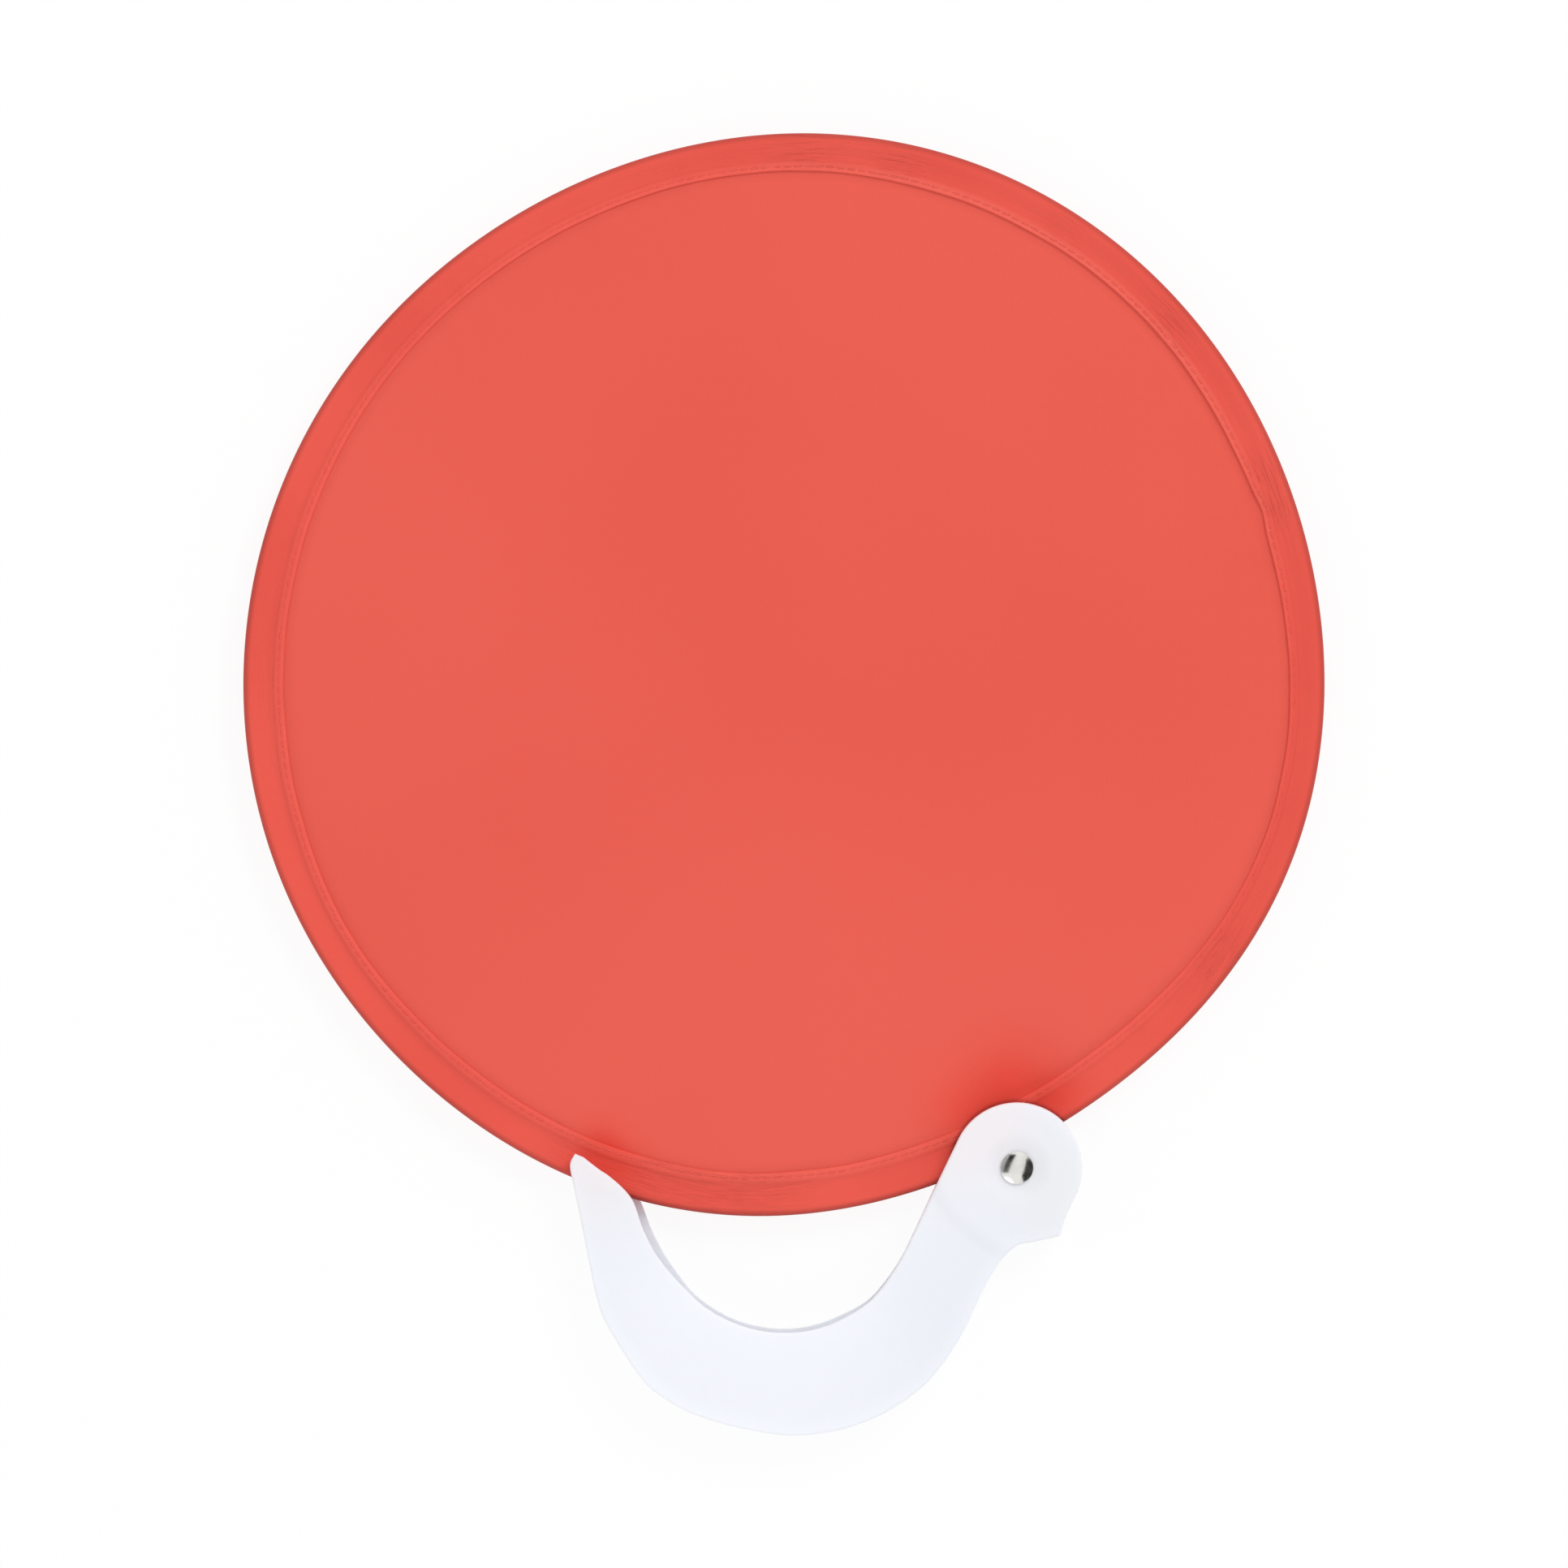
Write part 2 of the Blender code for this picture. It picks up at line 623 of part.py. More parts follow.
def fan_shift():
    """Moves the fan so that its box is centred on the origin and its back lies on the floor."""
    angles = [360.0 * step / DISC_STEPS for step in range(DISC_STEPS)]
    edges = [polar(rim_radius(angle), angle) for angle in angles]
    edges += [on_disc(point) for point in outer_edge() + lobe_edge()]
    across = [point.x for point in edges]
    along = [point.y for point in edges]
    return Vector((-(min(across) + max(across)) / 2, -(min(along) + max(along)) / 2, -HANDLE_BACK))


def main():
    clear_scene()
    fan = collection("collapsible_disc_fan")
    cutters = collection("cutters")
    whole = empty("fan_frame", fan_shift(), 0.0, None, fan)
    place = rivet_place()
    pivot = empty("handle_pivot", (place.x, place.y, 0.0), handle_turn(), whole, fan)

    nylon_panel(whole, fan)
    rim_binding(whole, fan, cutters)
    seam_thread("seam_thread_front", 1, whole, fan)
    seam_thread("seam_thread_back", -1, whole, fan)
    spring_ring(whole, fan)

    handle(pivot, fan, cutters)
    rivet(pivot, fan)
    nickel = material("nickel_plate_washer", (0.62, 0.61, 0.58), 0.25, 1.0)
    floor = HANDLE_BACK + BACK_DISH_DEPTH - FIT_GAP
    ring_on_rivet("rivet_washer", WASHER_RADIUS, floor - WASHER_THICKNESS, floor, nickel, pivot, fan)
    white = material("spacer_polypropylene", (0.80, 0.81, 0.83), 0.4)
    spacer_radius = RIVET_BORE + SPACER_WALL
    inner, outer = STRIP_WIDTH / 2 + FIT_GAP, SLOT_HALF - FIT_GAP
    ring_on_rivet("spacer_front", spacer_radius, inner, outer, white, pivot, fan)
    ring_on_rivet("spacer_back", spacer_radius, -outer, -inner, white, pivot, fan)


main()
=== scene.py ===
"""Looks of the collapsible disc fan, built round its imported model.

The cloth, its tape and their stitches share one wrinkle field, so they stay together. The handle and what is
on its rivet are made finer than their solids. All sizes are in metres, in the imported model's frame.
"""

import json
import math

import bmesh
import bpy
from mathutils import Matrix, Vector


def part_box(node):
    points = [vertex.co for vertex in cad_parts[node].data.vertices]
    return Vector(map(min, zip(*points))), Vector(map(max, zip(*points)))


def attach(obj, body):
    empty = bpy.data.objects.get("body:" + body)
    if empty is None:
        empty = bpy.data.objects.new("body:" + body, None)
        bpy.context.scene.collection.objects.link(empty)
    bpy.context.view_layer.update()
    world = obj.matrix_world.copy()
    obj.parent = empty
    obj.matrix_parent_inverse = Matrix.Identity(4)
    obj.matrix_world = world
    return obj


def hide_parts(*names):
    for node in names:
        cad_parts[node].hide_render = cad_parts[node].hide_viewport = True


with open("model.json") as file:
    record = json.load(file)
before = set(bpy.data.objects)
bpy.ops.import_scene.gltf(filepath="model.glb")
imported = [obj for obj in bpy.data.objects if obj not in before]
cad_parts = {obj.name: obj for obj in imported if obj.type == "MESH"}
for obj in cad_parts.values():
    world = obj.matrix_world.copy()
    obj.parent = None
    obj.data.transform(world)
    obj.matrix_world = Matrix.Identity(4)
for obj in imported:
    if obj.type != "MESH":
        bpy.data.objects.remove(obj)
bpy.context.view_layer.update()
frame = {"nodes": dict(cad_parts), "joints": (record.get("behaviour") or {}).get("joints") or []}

# Disc
DISC_RADIUS = 0.1249
# Each ripple of the rim: its count, its height as a share of the radius, and the bearing of a crest
RIPPLE_SHARES = (
    (2, 0.0114, 43.0), (3, 0.0022, -20.0), (4, 0.0060, 74.5), (5, 0.0024, -21.0), (6, 0.0012, 29.0),
)
SOLID_STEPS = 90  # corners that the solids have round the rim
RIM_STEPS = 600
CLOTH_STEPS = 360
CLOTH_RINGS = 60
RING_CROWDING = 1.35  # above 1, the cloth's rings lie closer together towards the seam
CLOTH_THICKNESS = 0.0002
CLOTH_INSET = 0.0044  # from the rim's edge to the cloth's cut edge, inside the tape

# Binding tape, folded round the rim, with its two edges turned under
TAPE_THICKNESS = 0.00020
TAPE_WIDTH = 0.0092  # from the rim's edge to the tape's inner edge
NOSE_HALF = 0.00135
NOSE_LENGTH = 0.0013
DRAWN_IN = 0.0058  # from the rim's edge to where the two sides have come together
FLAT_HEIGHT = 0.00052  # of the tape's outside over the cloth's middle
HEM_HEIGHT = 0.00070
HEM_WIDTH = 0.0024
HEM_GAP = 0.00004
HEM_SHOULDER = HEM_WIDTH * 0.3  # from the hem's start to where it is level
HEM_END_SHARE = 1.5  # of its last fold's radius, before which it is level
NOSE_STEPS = 6
SIDE_STEPS = 9
FLAT_STEPS = 3
HEM_FOLD_STEPS = 4
NOTCH_DEPTH = 0.0017
NOTCH_REACH = 5.7  # degrees to each side of the rivet
CRUMPLE_LENGTH = 0.009
CRUMPLE_PITCH = 0.0016
CRUMPLE_HEIGHT = 0.0009
CRUMPLE_SEED = 4.0
CRUMPLED_ANYWHERE = 0.15  # share of its crumples that the tape has between the crumpled places
CRUMPLE_LINE_PITCH = 0.0008
CRUMPLE_LINE_HEIGHT = 0.00017
LINED_ANYWHERE = 0.12  # the same of its fine lines

# How the seam draws the cloth and wanders. A noise's scale says how often it turns in one metre, and for the
# puckers and the wander, which follow the bearing alone, over one radius.
UNEVENNESS = 0.0011
UNEVENNESS_SCALE = 14.0
PUCKER_HEIGHT = 0.0011
PUCKER_SCALE = 17.0
WANDER_SCALE = 6.0
CREASE_INSET = 0.0100
CREASE_WIDTH = 0.0012
CREASE_DEPTH = 0.00022
LEAST_CREASE = 0.5  # share of its depth that the crease has everywhere
HEM_WANDER = 0.0003
HEM_SHIFT = 0.0008  # of the whole seam, towards the top
HEM_SHIFT_BEARING = 80.0
LOBE_FOLDS = 7.0
LOBE_FOLD_BEARING = 0.9  # radians
LOBE_FOLD_REACH = 0.024
LOBE_FOLD_HEIGHT = 0.0007

# Insets from the rim's edge between which an effect grows from nothing to whole
PUCKERS_GROW = (0.024, 0.009)
WRINKLES_GROW = (0.0012, 0.0065)
WANDER_GROWS = (0.004, 0.0085)
WANDER_GROWS_OUTWARDS = (0.024, 0.012)
CRUMPLES_GROW = (0.0012, 0.0030)
CRUMPLES_GROW_OUTWARDS = (TAPE_WIDTH - HEM_WIDTH / 2, TAPE_WIDTH - HEM_WIDTH)

# Seam
STITCH_INSET = 0.0011
STITCH_PITCH = 0.0025
STITCH_LENGTH = 0.0021
STITCH_THICKNESS = 0.0003
STITCH_STAND = STITCH_THICKNESS / 10  # of a stitch's middle over the hem
STITCH_DENT = STITCH_THICKNESS / 5  # that the stitches press into the hem
STITCH_DENT_INSIDE = STITCH_THICKNESS / 6  # and into its turned-under layer
STITCH_TILTS = ((0.0, -0.02, 0.02), (0.0, 0.02, 0.12))  # least and most, in radians

# Rivet and the round pieces on it
RIVET_ANGLE = 295.3
RIVET_STAND_OFF = 0.0038
SHANK_RADIUS = 0.0015
RIVET_BORE = 0.00175
HEAD_RADIUS = 0.00375
HEAD_HEIGHT = 0.0011
HEAD_BRIM = 0.0003
HEAD_EASE = HEAD_BRIM / 3  # of the brim's lower edge, and of the roll's upper one
SEAT_GAP = HEAD_BRIM / 10  # under the head
DIMPLE_RADIUS = 0.0012
DIMPLE_DEPTH = 0.00006
ROLL_RADIUS = 0.0026
ROLL_HEIGHT = 0.0005
TUBE_BORE = 0.0009
TUBE_DEPTH = 0.0040
WASHER_EDGE = 0.00008
SPACER_EDGE = 0.00015
TURNED_STEPS = 128
DOME_STEPS = 30
ROLL_STEPS = 12

# Handle, in a frame with its origin on the rivet and +X towards the tip
HANDLE_SPAN = 0.1030  # from the rivet to the rim beside the tip
HANDLE_DROP = 0.0607  # of the crescent's outer edge, below the line between those two
HANDLE_REACH = 120.0  # degrees of the rim, within which the tip is looked for
HALVINGS = 50
FRONT_WALL = 0.0015
SPINE_THICKNESS = 0.0030
STOP_GAP = 0.0003
EDGE_ROUND = 0.0006
ROUND_GROWTH_SHARE = 0.3
LEAST_STEP_SHARE = 0.2  # of an outline's step that its rounding leaves
INSET_TRIM_SHARE = 0.9
MOUTH_ROUND = 0.00022
MOUTH_ANGLE = 57.0  # degrees from which an edge of the slot is rounded
SHARP_ANGLE = 32.0
LOBE_RADIUS = 0.0151
LOBE_START = -25.5
LOBE_END = -201.5
LOBE_RISE = 0.0008
LOBE_GRID = 0.0008  # between the cuts that let its slope bend
LOBE_REACH = 0.0225
STEP_START = 0.0141  # from the line between the lobe's middle and its heel's
STEP_WIDTH = 0.0044
DISH_RADIUS = 0.0084
DISH_FLOOR_RADIUS = 0.0039
BACK_DISH_RADIUS = 0.0052
BACK_DISH_DEPTH = 0.0016
OVERRUN = 0.003
MERGE_DISTANCE = 0.00001
EDGE_STEPS = 6
LOBE_STEPS = 60
ROUND_STEPS = 4
STOP_STEPS = 8
DISH_STEPS = 12
OUTER_EDGE_SHARES = (
    (0.040, 0.350), (0.080, 0.455), (0.125, 0.608), (0.165, 0.715), (0.220, 0.822), (0.295, 0.910),
    (0.365, 0.962), (0.440, 0.992), (0.530, 1.000), (0.640, 0.966), (0.732, 0.916), (0.795, 0.860),
    (0.850, 0.780), (0.910, 0.622), (0.945, 0.497), (0.969, 0.295), (0.980, 0.186), (1.000, 0.000),
    (1.003, -0.055), (0.992, -0.092),
)
BACK_EDGE_SHARES = (
    (0.975, -0.084), (0.945, -0.042), (0.915, -0.012), (0.888, 0.018), (0.864, 0.052), (0.846, 0.104),
    (0.827, 0.195), (0.800, 0.292), (0.768, 0.376), (0.734, 0.451), (0.691, 0.510), (0.644, 0.555),
    (0.594, 0.583), (0.542, 0.596), (0.489, 0.593), (0.438, 0.573), (0.388, 0.539), (0.340, 0.493),
    (0.301, 0.423),
)
FRONT_EDGE_SHARES = (
    (0.973, -0.078), (0.939, -0.031), (0.918, -0.006), (0.885, 0.045), (0.862, 0.100), (0.844, 0.196),
    (0.815, 0.299), (0.773, 0.393), (0.746, 0.442), (0.714, 0.496), (0.663, 0.552), (0.600, 0.593),
    (0.543, 0.608), (0.487, 0.606), (0.433, 0.585), (0.384, 0.547), (0.338, 0.497), (0.300, 0.4255),
)
ARM_EDGE_SHARES = ((0.267, 0.343), (0.238, 0.251))
ARM_ROOT_SHARE = (1.237, 0.225)
HEEL_SIDE_SHARES = ((-0.792, 0.638), (-0.711, 0.812))
HEEL_FOOT_SHARES = ((-0.638, 1.060), (-0.232, 1.142), (0.014, 1.186))
LOBE_MIDDLE_SHARE = (0.20, 0.0)
HEEL_MIDDLE_SHARE = (-0.25, 0.35)

# Colours, most of them as the two ends between which a surface varies
CLOTH_REDS = ((0.765, 0.097, 0.067), (0.795, 0.108, 0.076))
TAPE_REDS = ((0.76, 0.083, 0.059), (0.80, 0.095, 0.067))
THREAD_REDS = ((0.76, 0.083, 0.060), (0.85, 0.104, 0.076))
# Painted shade: a darker, more saturated red for the cloth beside the lobe and the tip
PAINTED_SHADE_RED = (0.77, 0.060, 0.038)
# Painted light: a paler red on the hem's raised ridge
HEM_PAINTED_LIGHT_RED = (0.83, 0.128, 0.092)
MILKY_WHITES = ((0.80, 0.82, 0.88), (0.865, 0.89, 0.955))
FLOW_SHARE = 0.25  # of the way to the brighter white, by how the plastic flowed
# Painted shade on the lobe's right side
MILKY_PAINTED_SHADE = (0.80, 0.81, 0.82)
# Painted reflection: the red cloth's bounce light on the white plastic
MILKY_PAINTED_BOUNCE = (0.873, 0.825, 0.84)
SPACER_WHITES = ((0.78, 0.79, 0.81), (0.83, 0.84, 0.86))
NICKEL_GREYS = ((0.80, 0.79, 0.76), (0.72, 0.71, 0.68))
STEEL_GREYS = ((0.42, 0.43, 0.45), (0.50, 0.50, 0.52))

# Painted shade and a painted highlight along the seam: a distance, a width, and what they add to the share of
# the colour that is kept
CREASE_PAINTED_SHADE = (TAPE_WIDTH + 0.0009, 0.0010, -0.05)
RIDGE_PAINTED_HIGHLIGHT = (TAPE_WIDTH - 0.0003, 0.0007, 0.05)
HEM_PAINTED_SHADE = (TAPE_WIDTH - HEM_WIDTH - 0.0002, 0.0008, -0.06)
# The lobe's is a painted shadow on the cloth round its edge
LOBE_PAINTED_SHADOW = (LOBE_RADIUS + 0.0002, 0.0005, -0.4)
NOSE_PAINTED_SHADE = -0.33
NOSE_PAINTED_SHADE_ENDS = (0.0003, 0.0017)  # insets between which it fades out
SHADED_ANYWHERE = 0.3  # share of the hem's painted shade outside the shaded seams
HEM_PAINTED_LIGHT_BAND = (TAPE_WIDTH - 0.0010, 0.0011)
HEM_PAINTED_LIGHT_ANYWHERE = 0.3  # share of the painted light on the hem outside its spots

# Weave: its pitch in each cloth, and as a slope and a level what its height does to the tone, a painted shade
# between the threads, and to the gloss
CLOTH_WEAVE_PITCH = 0.00032
TAPE_WEAVE_PITCH = 0.00038
WEAVE_DEPTH_SHARE = 0.12  # of its pitch
WEAVE_PAINTED_SHADE = (0.05, 0.965)
WEAVE_ROUGHNESS = (-0.08, 0.62)
CRUMPLE_LINE_PAINTED_SHADE = (-0.05, 1.0)  # the same for the tape's fine lines, a painted shade in their creases

# Camera and light
PIXEL = 0.250 / 1330  # of the photograph, at the disc's height
FRAME_PIXELS = 1932
LENS = 400.0
SENSOR = 36.0
ROOM_LEVEL = 0.82
FLOOR_SHARE = 0.9  # of plain white in the floor
FLOOR_MATT = 0.93
FLOOR_HEIGHT = -0.0002
FLOOR = ((-6.0, -6.0), (6.0, -6.0), (6.0, 6.0), (-6.0, 6.0))
# Each lamp: its name, place, size and power, and whether the bright metal shows it
LAMPS = (
    ("key", (1.3, 1.6, 1.9), 1.2, 24.0, False),
    ("fill", (-1.2, -2.1, 1.55), 1.9, 7.0, True),
)
CARD_HEIGHT = 0.9
CARD_GREYS = {"dark_card": 0.02, "grey_card": 0.5}
# Each card: its name, its material and its corners in plan
CARDS = (
    ("card_right", "dark_card", (
        (0.30, -0.52), (0.46, -1.02), (1.15, -0.70), (1.25, 0.00), (0.84, 0.52), (0.58, 0.40), (0.41, -0.15),
    )),
    ("card_left", "dark_card", (
        (-0.36, -0.34), (-0.30, -0.15), (0.03, 0.60), (-0.30, 0.66), (-0.66, -0.16), (-0.75, -0.40),
    )),
    ("card_far_left", "grey_card", (
        (-0.75, -0.40), (-0.66, -0.16), (-0.30, 0.66), (-0.70, 1.00), (-1.50, 0.40), (-1.30, -0.45),
    )),
)

# Spots on the fan: a column and row of the photograph, a radius, and a height or a share
DEEP_CREASES = (
    (1500, 1140, 0.034, 1.0), (1530, 560, 0.030, 0.5), (1440, 430, 0.020, 0.4), (1290, 1350, 0.020, 1.2),
    (985, 215, 0.030, 0.3), (350, 900, 0.040, 0.3),
)
HOLLOWS = ((1250, 1320, 0.012, -0.0014),)
# Spots where the hem's ridge gets more painted light, or less where the share is below 0
HEM_PAINTED_LIGHT_SPOTS = (
    (1110, 225, 0.045, 0.5), (1330, 330, 0.042, 0.45), (1490, 500, 0.042, 0.45), (1010, 1449, 0.035, 0.35),
    (1560, 960, 0.050, -0.35),
)
SHADED_SEAMS = ((470, 1205, 0.075, 1.0),)
# The first is the kink where the tape's two ends meet
HEM_DRIFTS = (
    (1553, 630, 0.0035, 0.0007), (1562, 991, 0.050, 0.0014), (1177, 251, 0.040, -0.0008),
    (432, 1139, 0.030, 0.0007),
)
# Spots of painted shade on the cloth beside the lobe and the tip
PAINTED_SHADE_SPOTS = (
    (1245, 1338, 0.009, 0.9), (1188, 1372, 0.008, 0.6), (1302, 1350, 0.006, 0.8), (738, 1414, 0.005, 0.8),
    (757, 1430, 0.005, 0.8), (780, 1447, 0.005, 0.4),
)
# Painted light: a whiter spot on the handle's outer edge at the bottom
HANDLE_PAINTED_LIGHT_SPOTS = ((890, 1680, 0.045, 1.0),)
# Spots of painted red bounce light on the lobe and the tip
HANDLE_PAINTED_BOUNCE_SPOTS = ((1188, 1405, 0.012, 0.9), (1240, 1372, 0.008, 0.6), (735, 1455, 0.010, 0.8))
# Spots of painted shade on the lobe's right side and its heel
HANDLE_PAINTED_SHADE_SPOTS = ((1305, 1450, 0.010, 1.0), (1285, 1505, 0.006, 0.6))
CRUMPLES = (
    (990, 193, 0.010, 1.0), (1108, 206, 0.007, 1.0), (1438, 402, 0.007, 0.9), (1300, 290, 0.006, 0.7),
    (930, 1458, 0.013, 1.0), (855, 1452, 0.008, 0.8), (700, 1412, 0.005, 0.4), (800, 1445, 0.006, 0.8),
    (1575, 600, 0.010, 1.0), (1510, 1195, 0.010, 1.0), (330, 850, 0.020, 0.3),
)


# Places that follow from the sizes and the frame


def polar(radius, degrees):
    return Vector((radius * math.cos(math.radians(degrees)), radius * math.sin(math.radians(degrees))))


def angles(turn, steps):
    """Angles in radians from 0 up to the turn, given in degrees."""
    return [math.radians(turn * step / steps) for step in range(steps + 1)]


def rim_radius(degrees):
    """Radius of the rim's outer edge in this direction from the disc's centre."""
    share = 1.0
    for count, height, crest in RIPPLE_SHARES:
        share += height * math.cos(math.radians(count * (degrees - crest)))
    return DISC_RADIUS * share


def disc_centre():
    """Where the rim's formula has to be centred to fill the cloth solid's box, at its middle height."""
    low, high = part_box("nylon_panel")
    bearings = [360.0 * step / SOLID_STEPS for step in range(SOLID_STEPS)]
    edge = [polar(rim_radius(bearing) - CLOTH_INSET, bearing) for bearing in bearings]
    return Vector((low.x - min(p.x for p in edge), low.y - min(p.y for p in edge), (low.z + high.z) / 2))


def handle_turn():
    """Direction, in radians, from the rivet to where the rim lies HANDLE_SPAN from it, beside the tip."""
    near_end, far_end = RIVET_ANGLE, RIVET_ANGLE - HANDLE_REACH
    rivet = polar(rim_radius(RIVET_ANGLE) + RIVET_STAND_OFF, RIVET_ANGLE)
    for _ in range(HALVINGS):
        middle = (near_end + far_end) / 2
        if (polar(rim_radius(middle), middle) - rivet).length < HANDLE_SPAN:
            near_end = middle
        else:
            far_end = middle
    chord = polar(rim_radius(near_end), near_end) - rivet
    return math.atan2(chord.y, chord.x)


def from_photo(column, row):
    """The place, at the disc's height, that a pixel of the photograph shows."""
    middle = FRAME_PIXELS / 2
    return Vector(((column - middle) * PIXEL, (middle - row) * PIXEL, CENTRE.z))


CENTRE = disc_centre()
PIVOT = Vector(frame["joints"][0]["pos_m"])
TURN = Matrix.Rotation(handle_turn(), 2)
LOBE_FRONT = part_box("handle")[1].z
ARM_FRONT = LOBE_FRONT - LOBE_RISE
SLOT_TOP = ARM_FRONT - FRONT_WALL
SLOT_BOTTOM = 2 * CENTRE.z - SLOT_TOP


# Node trees


def add(tree, kind, inputs=(), **options):
    """Adds a node. Each input, by number or name, gets a plain value, or the node or output that feeds it."""
    made = tree.nodes.new(kind)
    for name, value in options.items():
        setattr(made, name, value)
    for key, value in inputs.items() if isinstance(inputs, dict) else enumerate(inputs):
        if isinstance(value, bpy.types.Node):
            value = value.outputs[0]
        if isinstance(value, bpy.types.NodeSocket):
            tree.links.new(value, made.inputs[key])
        elif value is not None:
            made.inputs[key].default_value = value
    return made


def calc(tree, operation, *values, clamp=False):
    return add(tree, "ShaderNodeMath", values, operation=operation, use_clamp=clamp).outputs[0]


def product(tree, first, *others):
    for other in others:
        first = calc(tree, "MULTIPLY", first, other)
    return first


def summed(tree, first, *others):
    for other in others:
        first = calc(tree, "ADD", first, other)
    return first


def half_kept(tree, value):
    """Runs from a half to 1 as the value goes from 0 to 1."""
    return calc(tree, "MULTIPLY_ADD", value, 0.5, 0.5)


def blend_range(tree, value, start=0.0, end=1.0, low=0.0, high=1.0):
    """Runs smoothly from low to high as the value goes from start to end."""
    inputs = {"Value": value, "From Min": start, "From Max": end, "To Min": low, "To Max": high}
    return add(tree, "ShaderNodeMapRange", inputs, interpolation_type="SMOOTHSTEP").outputs[0]


def noise(tree, place, scale, detail=2.0):
    inputs = {"Vector": place, "Scale": scale, "Detail": detail}
    return add(tree, "ShaderNodeTexNoise", inputs).outputs[0]


def swings(tree, place, scale, detail=2.0):
    """Noise that swings to both sides of 0."""
    return calc(tree, "SUBTRACT", noise(tree, place, scale, detail), 0.5)


def vector_calc(tree, operation, first, second=None, output=0):
    return add(tree, "ShaderNodeVectorMath", [first, second], operation=operation).outputs[output]


def scaled(tree, vector, share):
    return add(tree, "ShaderNodeVectorMath", {0: vector, "Scale": share}, operation="SCALE").outputs[0]


def away_from(tree, place, centre):
    return vector_calc(tree, "DISTANCE", place, centre, output="Value")


def bell(tree, value, centre, width, height=1.0):
    """As high as given where the value is at the centre, falling off smoothly over the width."""
    away = calc(tree, "DIVIDE", calc(tree, "SUBTRACT", value, centre), width)
    return product(tree, calc(tree, "EXPONENT", product(tree, away, away, -1.0)), height)


def near_any(tree, place, spots):
    """The sum of the bells round some spots of the photograph."""
    total = 0.0
    for column, row, radius, height in spots:
        away = away_from(tree, place, from_photo(column, row))
        total = calc(tree, "ADD", total, bell(tree, away, 0.0, radius, height))
    return total


def node_group(name, kind, inputs, output):
    """A new group whose sockets are given by their names and types. Returns it and what it is given."""
    tree = bpy.data.node_groups.new(name, kind)
    for way, sockets in (("INPUT", inputs), ("OUTPUT", output)):
        for socket, socket_type in sockets.items():
            tree.interface.new_socket(socket, in_out=way, socket_type="NodeSocket" + socket_type)
    return tree, tree.nodes.new("NodeGroupInput").outputs


def finish_group(tree, output):
    add(tree, "NodeGroupOutput", [output])
    return tree


def grouped(tree, group, inputs):
    return add(tree, "ShaderNodeGroup", inputs, node_tree=group).outputs[0]


# Shared effects of the materials


def in_lengths(tree, place, length, width):
    """The place's X in these lengths and its Y in these widths."""
    axes = add(tree, "ShaderNodeSeparateXYZ", [place]).outputs
    return calc(tree, "DIVIDE", axes["X"], length), calc(tree, "DIVIDE", axes["Y"], width)


def plain_weave():
    """Threads that pass over and under each other. The pitch is from one thread to the next."""
    sockets = {"Vector": "Vector", "Pitch": "Float"}
    tree, given = node_group("Plain weave", "ShaderNodeTree", sockets, {"Height": "Float"})
    along, across = in_lengths(tree, given["Vector"], given["Pitch"], given["Pitch"])
    crown_along = calc(tree, "SINE", product(tree, calc(tree, "FRACT", along), math.pi))
    crown_across = calc(tree, "SINE", product(tree, calc(tree, "FRACT", across), math.pi))
    over = calc(tree, "ADD", calc(tree, "FLOOR", along), calc(tree, "FLOOR", across))
    over = calc(tree, "PINGPONG", over, 1.0)
    warp = product(tree, crown_along, half_kept(tree, crown_across))
    weft = product(tree, crown_across, half_kept(tree, crown_along))
    difference = product(tree, calc(tree, "SUBTRACT", weft, warp), over)
    return finish_group(tree, calc(tree, "ADD", warp, difference))


def mottling():
    """Soft patches between 0 and 1, the size of one being about a third of the given size."""
    sockets = {"Vector": "Vector", "Size": "Float", "Detail": "Float"}
    tree, given = node_group("Mottling", "ShaderNodeTree", sockets, {"Mask": "Float"})
    scale = calc(tree, "DIVIDE", 1.0, given["Size"])
    patches = noise(tree, given["Vector"], scale, given["Detail"])
    return finish_group(tree, blend_range(tree, patches, start=0.3, end=0.7))


def mottled(tree, place, size, detail):
    return grouped(tree, MOTTLING, {"Vector": place, "Size": size, "Detail": detail})


def seam_painted_shade():
    """Share of its colour that the cloth keeps: painted shade in the crease, at the fold, along the hem's
    edge and round the lobe's edge, and a painted highlight on the hem's ridge.
    """
    sockets = {"Vector": "Vector", "Inset": "Float"}
    tree, given = node_group("Seam painted shade", "ShaderNodeTree", sockets, {"Share": "Float"})
    inset, place = given["Inset"], given["Vector"]
    patches = half_kept(tree, mottled(tree, place, size=0.06, detail=1.0))
    shaded = calc(tree, "ADD", near_any(tree, place, SHADED_SEAMS), SHADED_ANYWHERE)
    total = summed(
        tree, 1.0,
        product(tree, bell(tree, inset, *CREASE_PAINTED_SHADE), patches),
        blend_range(tree, inset, *NOSE_PAINTED_SHADE_ENDS, low=NOSE_PAINTED_SHADE, high=0.0),
        bell(tree, inset, *RIDGE_PAINTED_HIGHLIGHT),
        product(tree, bell(tree, inset, *HEM_PAINTED_SHADE), shaded),
        bell(tree, away_from(tree, place, PIVOT), *LOBE_PAINTED_SHADOW),
    )
    return finish_group(tree, total)


